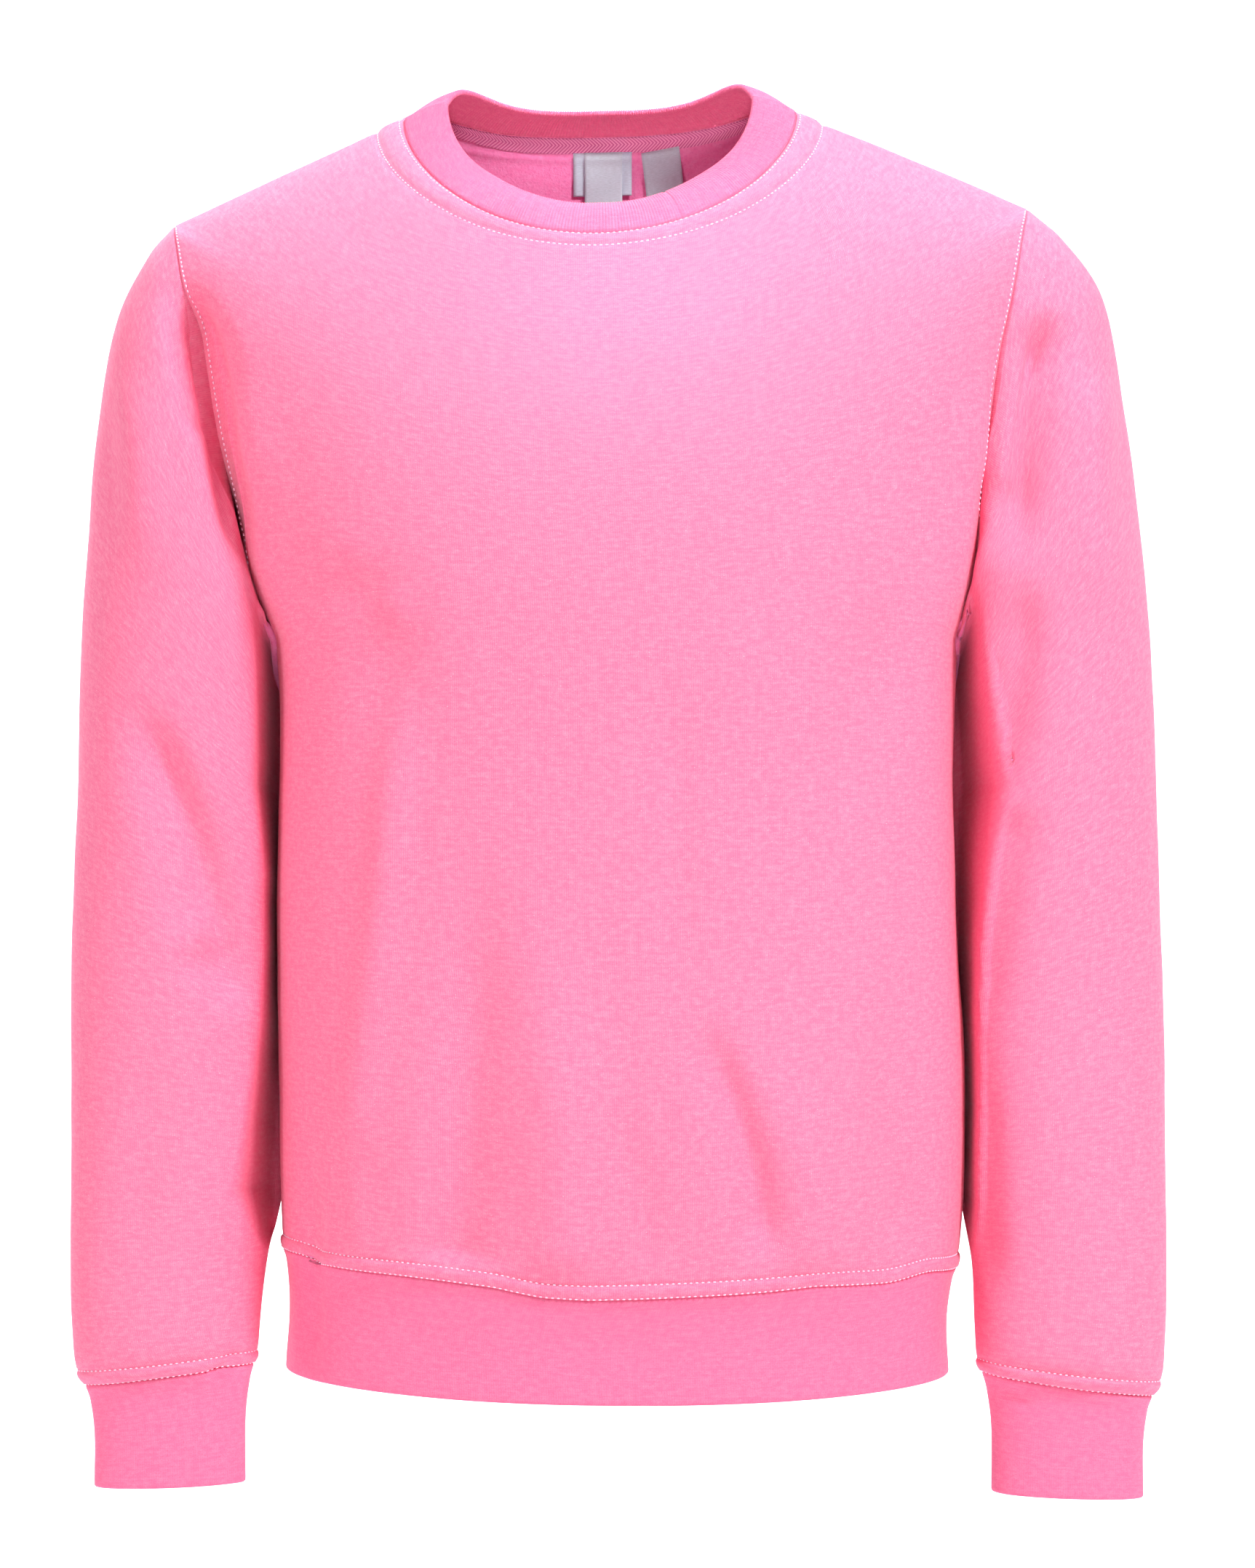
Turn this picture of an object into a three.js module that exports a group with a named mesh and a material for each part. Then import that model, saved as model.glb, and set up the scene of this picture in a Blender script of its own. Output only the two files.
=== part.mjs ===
// A crewneck sweatshirt as it hangs on a wearer: front and back panels, two set-in sleeves, and a ribbed
// collar, cuffs and hem band, with a neck tape and three labels inside the back neck.
// Millimetres. +X is the wearer's left, -Y is the front, +Z is up. The origin lies between the shoulders,
// level with the neck ends of the shoulder seams.
import * as THREE from "three";

// Driving sizes
const fleece = 1.8; // thickness of the brushed knit
const ribbing = 3; // doubled rib knit of the collar, cuffs and hem band
const trim = 1; // neck tape and labels
const seamGap = 0.34; // two pieces stand this far apart along a seam
const layGap = 0.36; // what lies on a panel stands this far off it
const shoulderY = 5; // plane of the side and shoulder seams and of the armpits
const ridgeHeight = 0.8; // the seam allowance pads out a ridge beside the neck and hem seams
const hemRidge = 8;
const neckRidge = 7;
const neckShift = 9.5; // the wearer stands with the shoulders this far to the right,
const hipShift = 3; // the hips and wrists this far to the left,
const armShift = 1.2;
const shoulderTilt = 0.02; // the left shoulder raised
const hemTilt = 0.02; // and the left side of the hem dropped
const cuffStagger = 3; // and one cuff lower than the middle height, the other higher

// Named levels of the body, measured up the cloth from the hem seam, and the grid steps above each.
const bodyLevels = [
  { name: "hem seam", level: 0, steps: 1 },
  { name: "hem ridge", level: 4, steps: 1 },
  { name: "hem ridge top", level: 8, steps: 4 },
  { name: "low waist", level: 84, steps: 4 },
  { name: "waist", level: 184, steps: 4 },
  { name: "ribs", level: 284, steps: 3 },
  { name: "armpit", level: 364, steps: 3 },
  { name: "armhole low", level: 395, steps: 2 },
  { name: "armhole mid", level: 430, steps: 2 },
  { name: "armhole high", level: 465, steps: 2 },
  { name: "armhole top", level: 497, steps: 4 },
  { name: "shoulder point", level: 524, steps: 4 },
  { name: "neck ridge foot", level: 581, steps: 1 },
  { name: "neck ridge", level: 584.5, steps: 1 },
  { name: "neck seam", level: 588, steps: 0 },
];
const armpitLevel = 364;
const shoulderLevel = 524;
const neckLevel = 588;
const easeWindow = 30; // levels over which the body's sections ease into each other
const frontColumns = 30;
const backColumns = 26;

// Sections of the body on its front and back centre lines. square is the exponent of the outline seen from
// above, 2 being an ellipse, and rise is how late along a row its height climbs from the centre's to the edge's.
// hump lifts a row beside the neck, where the back lies over the top of the shoulder.
const frontCentre = [
  { level: 0, y: -126, z: -653, square: 2.3, rise: 2, hump: 0 },
  { level: 84, y: -132, z: -570, square: 2.3, rise: 2, hump: 0 },
  { level: 184, y: -131, z: -471, square: 2.3, rise: 2, hump: 0 },
  { level: 284, y: -131, z: -373, square: 2.3, rise: 2, hump: 0 },
  { level: 364, y: -134, z: -298, square: 2.3, rise: 2, hump: 0 },
  { level: 430, y: -133, z: -232, square: 2.25, rise: 1.9, hump: 0 },
  { level: 497, y: -124, z: -166, square: 2.15, rise: 1.7, hump: 0 },
  { level: 524, y: -118, z: -140, square: 2.1, rise: 1.5, hump: 0 },
  { level: 560, y: -106, z: -104, square: 2.05, rise: 1.3, hump: 0 },
  { level: 588, y: -95, z: -76.5, square: 2, rise: 1.15, hump: 0 },
];
const humpPlace = 1.8; // the hump is highest two thirds of the way to the edge
const backCentre = [
  { level: 0, y: 109, z: -643, square: 2.3, rise: 2, hump: 0 },
  { level: 84, y: 108, z: -560, square: 2.3, rise: 2, hump: 0 },
  { level: 184, y: 104, z: -464, square: 2.3, rise: 2, hump: 0 },
  { level: 284, y: 107, z: -368, square: 2.3, rise: 2, hump: 0 },
  { level: 364, y: 114, z: -292, square: 2.3, rise: 2, hump: 0 },
  { level: 430, y: 120, z: -222, square: 2.25, rise: 1.9, hump: 0 },
  { level: 497, y: 119, z: -150, square: 2.15, rise: 1.7, hump: 0 },
  { level: 524, y: 113, z: -114, square: 2.1, rise: 1.6, hump: 0 },
  { level: 560, y: 97, z: -53, square: 2.05, rise: 1.6, hump: 3 },
  { level: 588, y: 82, z: -0.3, square: 2, rise: 1.8, hump: 8.5 },
];

// Edges of the panels, for the wearer's left side.
const sideSeam = [
  { level: 0, x: 190, y: 5, z: -643 },
  { level: 84, x: 193, y: 5, z: -562 },
  { level: 184, x: 191.5, y: 5, z: -465 },
  { level: 284, x: 189, y: 5, z: -369 },
  { level: 364, x: 191, y: 5, z: -296 },
];
const frontArmhole = [
  { level: 364, x: 191, y: 5, z: -296 },
  { level: 374, x: 193.5, y: -11, z: -292 },
  { level: 385, x: 197, y: -25, z: -280 },
  { level: 395, x: 200, y: -34, z: -265 },
  { level: 430, x: 207, y: -48, z: -215 },
  { level: 465, x: 218, y: -55, z: -160 },
  { level: 497, x: 231, y: -44, z: -100 },
  { level: 508, x: 235, y: -32, z: -79 },
  { level: 517, x: 238.5, y: -15, z: -63 },
  { level: 524, x: 240, y: 5, z: -57 },
];
const backArmhole = [
  { level: 364, x: 191, y: 5, z: -296 },
  { level: 374, x: 193.5, y: 21, z: -292 },
  { level: 385, x: 197.5, y: 35, z: -279 },
  { level: 395, x: 202, y: 44, z: -263 },
  { level: 430, x: 211, y: 57, z: -212 },
  { level: 465, x: 221, y: 61, z: -156 },
  { level: 497, x: 232, y: 48, z: -98 },
  { level: 508, x: 235.5, y: 36, z: -78 },
  { level: 517, x: 238.5, y: 22, z: -63 },
  { level: 524, x: 240, y: 5, z: -57 },
];
const shoulderSeam = [
  { level: 524, x: 240, y: 5, z: -57 },
  { level: 560, x: 169, y: 5, z: -25.5 },
  { level: 588, x: 111, y: 5, z: 0 },
];

// Rings of the left sleeve after its armhole: the outermost and innermost points, the centre's y and half the
// depth from front to back. along is the way down the sleeve, and steps the grid steps from the ring before.
const sleeveRings = [
  { along: 18, outX: 256, outZ: -73, inX: 192, inZ: -304, y: 4, depth: 66, steps: 1 },
  { along: 55, outX: 276, outZ: -107, inX: 188, inZ: -316, y: 4, depth: 68, steps: 2 },
  { along: 110, outX: 288, outZ: -165, inX: 185, inZ: -337, y: 3, depth: 68, steps: 2 },
  { along: 180, outX: 296, outZ: -238, inX: 184, inZ: -362, y: 2, depth: 65, steps: 3 },
  { along: 255, outX: 301.5, outZ: -314, inX: 183, inZ: -398, y: 2, depth: 62, steps: 3 },
  { along: 335, outX: 304, outZ: -394, inX: 183, inZ: -446, y: 1, depth: 58, steps: 3 },
  { along: 415, outX: 306, outZ: -474, inX: 183, inZ: -504, y: -3, depth: 54, steps: 2 },
  { along: 505, outX: 306.5, outZ: -564, inX: 187, inZ: -574, y: -10, depth: 48, steps: 2 },
  { along: 585, outX: 306, outZ: -640, inX: 195.5, inZ: -636, y: -18, depth: 42, steps: 2 },
  { along: 640, outX: 304, outZ: -692, inX: 199.5, inZ: -684, y: -24, depth: 37, steps: 2 },
  { along: 654, outX: 302, outZ: -706, inX: 200.5, inZ: -694, y: -25.5, depth: 33, steps: 1 },
  { along: 662, outX: 297.5, outZ: -714, inX: 202.5, inZ: -701, y: -26, depth: 29.5, steps: 1 },
];
const cuffRings = [
  { along: 8, outX: 294.5, outZ: -722, inX: 205, inZ: -710, y: -27, depth: 25, steps: 1 },
  { along: 28, outX: 292, outZ: -741, inX: 207.5, inZ: -731, y: -28, depth: 22.5, steps: 1 },
  { along: 56, outX: 292, outZ: -769, inX: 207.5, inZ: -766, y: -29, depth: 21.5, steps: 2 },
];
const armClearance = 0.7; // the sleeves press against the body and stand this far off it
const armSoftness = 2; // how gently a sleeve's section flattens there

// Rings of the hem band below its seam: how far down, and how far it draws in.
const bandRings = [
  { drop: 7, inset: 2.5, steps: 1 },
  { drop: 28, inset: 5, steps: 1 },
  { drop: 57, inset: 4, steps: 2 },
];
const bandEvenness = 0.35; // its folded edge evens out this share of the seam's rise to the sides

// The collar climbs from the neck seam and leans in towards the neck. turn is the angle from the front.
const collarLean = [
  { turn: 0, inward: 17, up: 18 },
  { turn: 45, inward: 19, up: 15.5 },
  { turn: 72, inward: 22, up: 10 },
  { turn: 92, inward: 23.5, up: 9 },
  { turn: 112, inward: 24, up: 11.3 },
  { turn: 140, inward: 22, up: 10.3 },
  { turn: 180, inward: 21, up: 10.8 },
];
const collarCrown = 0.16; // how much the rib arches on the way
const collarRows = [0, 0.25, 0.6, 1];

// The neck tape covers the back neck seam from one shoulder to the other, and the labels hang below it.
const tapeTop = 0.5;
const tapeWidth = 9;
const tapeEnd = 0.92; // share of the back panel's half width
const labels = [
  { name: "label_wide", x: -8.5, width: 34, length: 28, tilt: 0, layer: 0 },
  { name: "label_narrow", x: -8, width: 22, length: 34, tilt: 0, layer: 1 },
  { name: "label_care", x: 25, width: 22, length: 44, tilt: 0.15, layer: 0 },
];

// The largest folds, as lines in front view. depth is negative for a trough and positive for a ridge, bow
// bends the line sideways at its middle, and start and end are the lengths over which it rises and fades.
const folds = [
  { on: "front", x0: -171, z0: -712, x1: -173, z1: -540, bow: 2, width: 9, depth: -6, start: 40, end: 90 },
  { on: "front", x0: -150, z0: -600, x1: -116, z1: -300, bow: 6, width: 12, depth: 3, start: 60, end: 90 },
  { on: "front", x0: -89, z0: -640, x1: -72, z1: -380, bow: 0, width: 20, depth: -4.5, start: 12, end: 130 },
  { on: "front", x0: -30, z0: -655, x1: -42, z1: -430, bow: 4, width: 24, depth: 5, start: 30, end: 120 },
  { on: "front", x0: 80, z0: -640, x1: 38, z1: -490, bow: 8, width: 13, depth: -5, start: 30, end: 60 },
  { on: "front", x0: 112, z0: -648, x1: 66, z1: -505, bow: 8, width: 20, depth: 4, start: 20, end: 80 },
  { on: "front", x0: 164, z0: -640, x1: 148, z1: -450, bow: -8, width: 20, depth: -3.5, start: 30, end: 90 },
  { on: "front", x0: -206, z0: -150, x1: -176, z1: -330, bow: 8, width: 17, depth: 5, start: 50, end: 90 },
  { on: "front", x0: -140, z0: -246, x1: -128, z1: -400, bow: -6, width: 24, depth: -5, start: 60, end: 90 },
  { on: "front", x0: 200, z0: -150, x1: 176, z1: -330, bow: -8, width: 17, depth: 5, start: 50, end: 90 },
  { on: "front", x0: 150, z0: -262, x1: 126, z1: -420, bow: 6, width: 22, depth: -4, start: 60, end: 80 },
  { on: "front", x0: -249, z0: -88, x1: -226, z1: -196, bow: -5, width: 11, depth: -4.5, start: 30, end: 60 },
  { on: "front", x0: 246, z0: -112, x1: 216, z1: -150, bow: -5, width: 11, depth: -5, start: 14, end: 20 },
  { on: "front", x0: -270, z0: -340, x1: -235, z1: -470, bow: -5, width: 13, depth: -5, start: 50, end: 30 },
  { on: "front", x0: -243, z0: -462, x1: -198, z1: -502, bow: 0, width: 12, depth: -5, start: 20, end: 20 },
  { on: "front", x0: 228, z0: -262, x1: 206, z1: -400, bow: 5, width: 13, depth: -6, start: 40, end: 40 },
  { on: "front", x0: 222, z0: -384, x1: 204, z1: -560, bow: 7, width: 13, depth: -5, start: 24, end: 90 },
  { on: "back", x0: -150, z0: -640, x1: -96, z1: -430, bow: 8, width: 22, depth: -6, start: 12, end: 120 },
  { on: "back", x0: -60, z0: -645, x1: -34, z1: -450, bow: -6, width: 24, depth: 5, start: 12, end: 110 },
  { on: "back", x0: 12, z0: -645, x1: -8, z1: -420, bow: 5, width: 20, depth: -5, start: 10, end: 130 },
  { on: "back", x0: 92, z0: -645, x1: 60, z1: -440, bow: 7, width: 24, depth: 5, start: 12, end: 110 },
  { on: "back", x0: 152, z0: -640, x1: 110, z1: -450, bow: -8, width: 18, depth: -5, start: 12, end: 100 },
  { on: "back", x0: -196, z0: -170, x1: -130, z1: -360, bow: -14, width: 20, depth: -6, start: 50, end: 110 },
  { on: "back", x0: 196, z0: -170, x1: 134, z1: -350, bow: 14, width: 20, depth: -6, start: 50, end: 110 },
  { on: "back", x0: -280, z0: -350, x1: -228, z1: -430, bow: 5, width: 13, depth: -5, start: 30, end: 40 },
  { on: "back", x0: 284, z0: -330, x1: 230, z1: -420, bow: -6, width: 13, depth: -5, start: 30, end: 40 },
  { on: "back", x0: 276, z0: -420, x1: 226, z1: -480, bow: 4, width: 11, depth: -4, start: 24, end: 30 },
];

const smooth = (edge0, edge1, value) => {
  const t = Math.min(1, Math.max(0, (value - edge0) / (edge1 - edge0)));
  return t * t * (3 - 2 * t);
};
const mix = (a, b, t) => a + (b - a) * t;
const between = (low, value, high) => Math.min(high, Math.max(low, value));

// One column of a table at a value of its key, by a smooth curve through the rows.
function read(table, key, at, name) {
  const last = table.length - 1;
  let i = 0;
  while (i < last - 1 && at > table[i + 1][key]) i++;
  const slope = (k) => {
    const a = Math.max(0, k - 1);
    const b = Math.min(last, k + 1);
    return (table[b][name] - table[a][name]) / (table[b][key] - table[a][key]);
  };
  const span = table[i + 1][key] - table[i][key];
  const t = between(0, (at - table[i][key]) / span, 1);
  const t2 = t * t;
  const t3 = t2 * t;
  return (
    (2 * t3 - 3 * t2 + 1) * table[i][name] +
    (t3 - 2 * t2 + t) * span * slope(i) +
    (3 * t2 - 2 * t3) * table[i + 1][name] +
    (t3 - t2) * span * slope(i + 1)
  );
}
const readPoint = (table, key, at) =>
  new THREE.Vector3(read(table, key, at, "x"), read(table, key, at, "y"), read(table, key, at, "z"));

// The panels and sleeves are worked out even on both sides, and then take the wearer's stance.
function stance(p) {
  const shoulders = smooth(-330, -120, p.z);
  const neckwards = mix(1, 0.4, smooth(230, 280, Math.abs(p.x)));
  const inBody = smooth(215, 190, Math.abs(p.x));
  const hips = smooth(-440, -560, p.z) * smooth(-700, -600, p.z) * inBody;
  const hem = smooth(-450, -640, p.z) * mix(1, 0.35, smooth(-650, -700, p.z)) * inBody;
  const wrist = smooth(-450, -700, p.z) * (1 - inBody);
  return new THREE.Vector3(
    p.x - neckShift * shoulders * neckwards + hipShift * hips + armShift * wrist,
    p.y,
    p.z + p.x * (shoulderTilt * shoulders - hemTilt * hem) - Math.sign(p.x) * cuffStagger * wrist,
  );
}

const levels = [];
bodyLevels.forEach((row, i) => {
  for (let k = 0; k < row.steps; k++) levels.push(mix(row.level, bodyLevels[i + 1].level, k / row.steps));
});
levels.push(neckLevel);

// Where a panel's row ends: on the side seam, the armhole or the shoulder seam.
function panelEdge(level, armhole) {
  if (level <= armpitLevel) return readPoint(sideSeam, "level", level);
  if (level <= shoulderLevel) return readPoint(armhole, "level", level);
  return readPoint(shoulderSeam, "level", level);
}

// A row of a panel is an arc of an oval centred on the plane of the side seams, from edge to edge.
function arcPoint(level, share, centre, armhole) {
  const edge = panelEdge(level, armhole);
  const midY = read(centre, "level", level, "y") - shoulderY;
  const midZ = read(centre, "level", level, "z");
  const square = read(centre, "level", level, "square");
  const edgeDepth = between(0, (edge.y - shoulderY) / midY, 1);
  const halfWidth = edge.x / Math.pow(1 - Math.pow(edgeDepth, square), 1 / square);
  const turn = Math.asin(Math.min(1, edge.x / halfWidth)) * Math.abs(share);
  const across = Math.sin(turn);
  const climb = 1 - Math.pow(Math.cos((Math.abs(share) * Math.PI) / 2), read(centre, "level", level, "rise"));
  const swell = Math.pow(Math.sin(Math.PI * Math.pow(Math.abs(share), humpPlace)), 2);
  const hump = read(centre, "level", level, "hump") * swell;
  return new THREE.Vector3(
    Math.sign(share) * halfWidth * across,
    shoulderY + midY * Math.pow(Math.max(0, 1 - Math.pow(across, square)), 1 / square),
    mix(midZ, edge.z, climb) + hump,
  );
}

// The arcs ease into each other up and down the panel, and stay true towards its edges.
function panelRow(level, share, centre, armhole) {
  const window = Math.min(easeWindow, level, neckLevel - level);
  const eased = new THREE.Vector3();
  for (const k of [-1, -0.6, -0.2, 0.2, 0.6, 1])
    eased.addScaledVector(arcPoint(level + k * window, share, centre, armhole), 1 / 6);
  return eased.lerp(arcPoint(level, share, centre, armhole), Math.abs(share) ** 6);
}
const panelGrid = (centre, armhole, columns) =>
  levels.map((level) =>
    Array.from({ length: columns + 1 }, (_, i) => panelRow(level, (2 * i) / columns - 1, centre, armhole)),
  );

// How far the body reaches sideways below the armpits.
function bodySide(y, z) {
  const level = read(sideSeam, "z", z, "level");
  const centre = y < shoulderY ? frontCentre : backCentre;
  const square = read(centre, "level", level, "square");
  const depth = Math.min(1, (y - shoulderY) / (read(centre, "level", level, "y") - shoulderY));
  return read(sideSeam, "level", level, "x") * Math.pow(1 - Math.pow(depth, square), 1 / square);
}

// A sleeve's section flattens where it presses against the body.
function clearBody(p) {
  if (p.z > sideSeam[sideSeam.length - 1].z) return p;
  const limit = bodySide(p.y, p.z) + armClearance;
  const reach = Math.abs(p.x) - limit;
  const x = limit + (reach + Math.hypot(reach, armSoftness)) / 2;
  return new THREE.Vector3(Math.sign(p.x) * x, p.y, p.z);
}

// A point of a sleeve or cuff ring, at a share of the way round from the outside, by the front.
function ringPoint(ring, share, side) {
  const turn = share * 2 * Math.PI;
  const out = (1 + Math.cos(turn)) / 2;
  const x = mix(ring.inX, ring.outX, out);
  return new THREE.Vector3(side * x, ring.y - ring.depth * Math.sin(turn), mix(ring.inZ, ring.outZ, out));
}

// The armhole loop: from the shoulder point down the front edge to the armpit, and up the back edge.
const armpitRow = levels.indexOf(armpitLevel);
const shoulderRow = levels.indexOf(shoulderLevel);
function armholeLoop(front, back, side) {
  const edge = (grid, row) => grid[row][side > 0 ? grid[row].length - 1 : 0];
  const loop = [];
  for (let r = shoulderRow; r >= armpitRow; r--) loop.push(edge(front, r));
  for (let r = armpitRow + 1; r < shoulderRow; r++) loop.push(edge(back, r));
  return loop;
}

// Shares of the way round an armhole loop, by its length, with the armpit half way round.
function loopShares(loop) {
  const lengths = [0];
  loop.forEach((p, i) => lengths.push(lengths[i] + p.distanceTo(loop[(i + 1) % loop.length])));
  const down = lengths[shoulderRow - armpitRow];
  const up = lengths[loop.length] - down;
  return lengths.slice(0, -1).map((l) => (l <= down ? (0.5 * l) / down : 0.5 + (0.5 * (l - down)) / up));
}

// A smooth tube through rings of points.
function tubeGrid(rings, alongs, steps) {
  const lines = rings[0].map((_, i) =>
    rings.map((ring, r) => ({ along: alongs[r], x: ring[i].x, y: ring[i].y, z: ring[i].z })),
  );
  const rows = [rings[0]];
  for (let k = 1; k < rings.length; k++)
    for (let s = 1; s <= steps[k]; s++) {
      const along = mix(alongs[k - 1], alongs[k], s / steps[k]);
      rows.push(lines.map((line) => readPoint(line, "along", along)));
    }
  return rows;
}
function ringsBelow(first, table, shares, side) {
  const rings = [first, ...table.map((ring) => shares.map((share) => ringPoint(ring, share, side)))];
  const grid = tubeGrid(rings, [0, ...table.map((r) => r.along)], [0, ...table.map((r) => r.steps)]);
  return grid.map((row, r) => (r === 0 ? row : row.map(clearBody)));
}

// A row that runs right round the body: the front one from right to left, then the back one home.
const roundTrip = (frontRow, backRow) => [...frontRow, ...backRow.slice(1, -1).reverse()];

function bandGrid(seam) {
  const seamBottom = Math.min(...seam.map((p) => p.z));
  const drop = (ring) => (p) => {
    const inward = new THREE.Vector3(-p.x, -p.y, 0).normalize();
    const even = (bandEvenness * ring.drop) / bandRings.at(-1).drop;
    return p.clone().addScaledVector(inward, ring.inset).setZ(p.z - ring.drop - even * (p.z - seamBottom));
  };
  const rings = [seam, ...bandRings.map((ring) => seam.map(drop(ring)))];
  return tubeGrid(rings, [0, ...bandRings.map((r) => r.drop)], [0, ...bandRings.map((r) => r.steps)]);
}

function collarGrid(seam) {
  const middle = seam.reduce((sum, p) => sum.add(p), new THREE.Vector3()).divideScalar(seam.length);
  const climb = (p, share) => {
    const facing = new THREE.Vector2(p.x - middle.x, p.y - middle.y).normalize();
    const turn = THREE.MathUtils.radToDeg(Math.acos(-facing.y));
    const inward = share * read(collarLean, "turn", turn, "inward");
    const arch = share + collarCrown * Math.sin(Math.PI * share);
    const up = arch * read(collarLean, "turn", turn, "up");
    return new THREE.Vector3(p.x - facing.x * inward, p.y - facing.y * inward, p.z + up);
  };
  return collarRows.map((share) => seam.map((p) => climb(p, share)));
}

// Grid normals, pointing out of the garment.
function normalsOf(piece) {
  const { grid, closed, flip } = piece;
  const rows = grid.length;
  const columns = grid[0].length;
  const wrap = (i) => (closed ? (i + columns) % columns : between(0, i, columns - 1));
  return grid.map((row, r) =>
    row.map((_, i) => {
      const along = grid[Math.min(rows - 1, r + 1)][i].clone().sub(grid[Math.max(0, r - 1)][i]);
      const across = row[wrap(i + 1)].clone().sub(row[wrap(i - 1)]);
      return across.cross(along).normalize().multiplyScalar(flip ? -1 : 1);
    }),
  );
}

// Families of pieces that share a seam share its points, so they take one normal there.
function shareNormals(families) {
  const name = (p) => [p.x, p.y, p.z].map((v) => v.toFixed(3)).join(",");
  const visit = (family, act) =>
    family.forEach((piece) => piece.grid.forEach((row, r) => row.forEach((p, i) => act(piece, name(p), r, i))));
  const gather = (sums, key, normal) => sums.set(key, (sums.get(key) || new THREE.Vector3()).add(normal));
  const shared = new Map();
  for (const family of families) {
    const own = new Map();
    visit(family, (piece, key, r, i) => gather(own, key, piece.normals[r][i]));
    for (const [key, sum] of own) gather(shared, key, sum.normalize());
  }
  visit(families.flat(), (piece, key, r, i) => (piece.normals[r][i] = shared.get(key).clone().normalize()));
}

// How far the folds move a point of the cloth outwards.
function foldAt(p, normal) {
  let depth = 0;
  for (const fold of folds) {
    const facing = smooth(0.2, 0.65, fold.on === "front" ? -normal.y : normal.y);
    const run = new THREE.Vector2(fold.x1 - fold.x0, fold.z1 - fold.z0);
    const length = run.length();
    run.divideScalar(length);
    const away = new THREE.Vector2(p.x - fold.x0, p.z - fold.z0);
    const along = away.dot(run);
    const share = along / length;
    if (share <= 0 || share >= 1) continue;
    const across = away.cross(run) - fold.bow * 4 * share * (1 - share);
    const fade = smooth(0, fold.start, along) * smooth(0, fold.end, length - along);
    depth += fold.depth * facing * fade * Math.exp(-((across / fold.width) ** 2));
  }
  return depth;
}

// The seam allowances under the twin-needle stitching pad out a ridge on the body.
const ridgeAt = (level) => {
  const hem = level / hemRidge;
  const neck = (neckLevel - level) / neckRidge;
  return ridgeHeight * 4 * Math.max(0, hem * (1 - hem), neck * (1 - neck));
};

// Draws the edges of a grid back by half the seam gap, square to the seam and within the surface.
function drawBack(piece, half) {
  const { grid, normals, closed } = piece;
  const rows = grid.length;
  const columns = grid[0].length;
  const wrap = (i) => (closed ? (i + columns) % columns : between(0, i, columns - 1));
  return grid.map((row, r) =>
    row.map((p, i) => {
      const moved = p.clone();
      const draw = (tangent, inside) => {
        const square = tangent.clone().cross(normals[r][i]).normalize();
        moved.addScaledVector(square, square.dot(inside.clone().sub(p)) < 0 ? -half : half);
      };
      const alongRow = row[wrap(i + 1)].clone().sub(row[wrap(i - 1)]);
      const alongColumn = grid[Math.min(rows - 1, r + 1)][i].clone().sub(grid[Math.max(0, r - 1)][i]);
      if (r === 0) draw(alongRow, grid[1][i]);
      if (r === rows - 1) draw(alongRow, grid[rows - 2][i]);
      if (!closed && i === 0) draw(alongColumn, row[1]);
      if (!closed && i === columns - 1) draw(alongColumn, row[columns - 2]);
      return moved;
    }),
  );
}

// A grid of points set in from another, along its normals.
const setIn = (grid, normals, depth) =>
  grid.map((row, r) => row.map((p, i) => p.clone().addScaledVector(normals[r][i], -depth)));

// A closed wall: the outer grid, an inner one a thickness below it, and the rims between them.
function wall(outer, normals, thickness, closed) {
  const rows = outer.length;
  const columns = outer[0].length;
  const positions = [outer, setIn(outer, normals, thickness)].flat(2).flatMap((p) => [p.x, p.y, p.z]);
  const at = (layer, r, i) => layer * rows * columns + r * columns + (i % columns);
  const index = [];
  const quad = (a, b, c, d) => index.push(a, b, c, a, c, d);
  const mirrored = (a, b, c, d) => quad(b, c, d, a);
  const spans = closed ? columns : columns - 1;
  for (let r = 0; r < rows - 1; r++)
    for (let i = 0; i < spans; i++) {
      const split = i < spans / 2 ? quad : mirrored;
      split(at(0, r, i), at(0, r, i + 1), at(0, r + 1, i + 1), at(0, r + 1, i));
      split(at(1, r, i), at(1, r + 1, i), at(1, r + 1, i + 1), at(1, r, i + 1));
    }
  const top = rows - 1;
  for (let i = 0; i < spans; i++) {
    const split = closed && i < spans / 2 ? mirrored : quad;
    split(at(0, 0, i), at(1, 0, i), at(1, 0, i + 1), at(0, 0, i + 1));
    split(at(0, top, i), at(0, top, i + 1), at(1, top, i + 1), at(1, top, i));
  }
  const end = columns - 1;
  for (let r = 0; r < (closed ? 0 : rows - 1); r++) {
    quad(at(0, r, 0), at(0, r + 1, 0), at(1, r + 1, 0), at(1, r, 0));
    quad(at(0, r, end), at(1, r, end), at(1, r + 1, end), at(0, r + 1, end));
  }
  const geometry = new THREE.BufferGeometry();
  geometry.setAttribute("position", new THREE.Float32BufferAttribute(positions, 3));
  geometry.setIndex(index);
  return geometry;
}

// The pieces as grids. Body grids run up the garment, sleeves and the band run down it.
const frontGrid = panelGrid(frontCentre, frontArmhole, frontColumns);
const backGrid = panelGrid(backCentre, backArmhole, backColumns);
const reversed = (grid) => grid.map((row) => row.slice().reverse());

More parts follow.
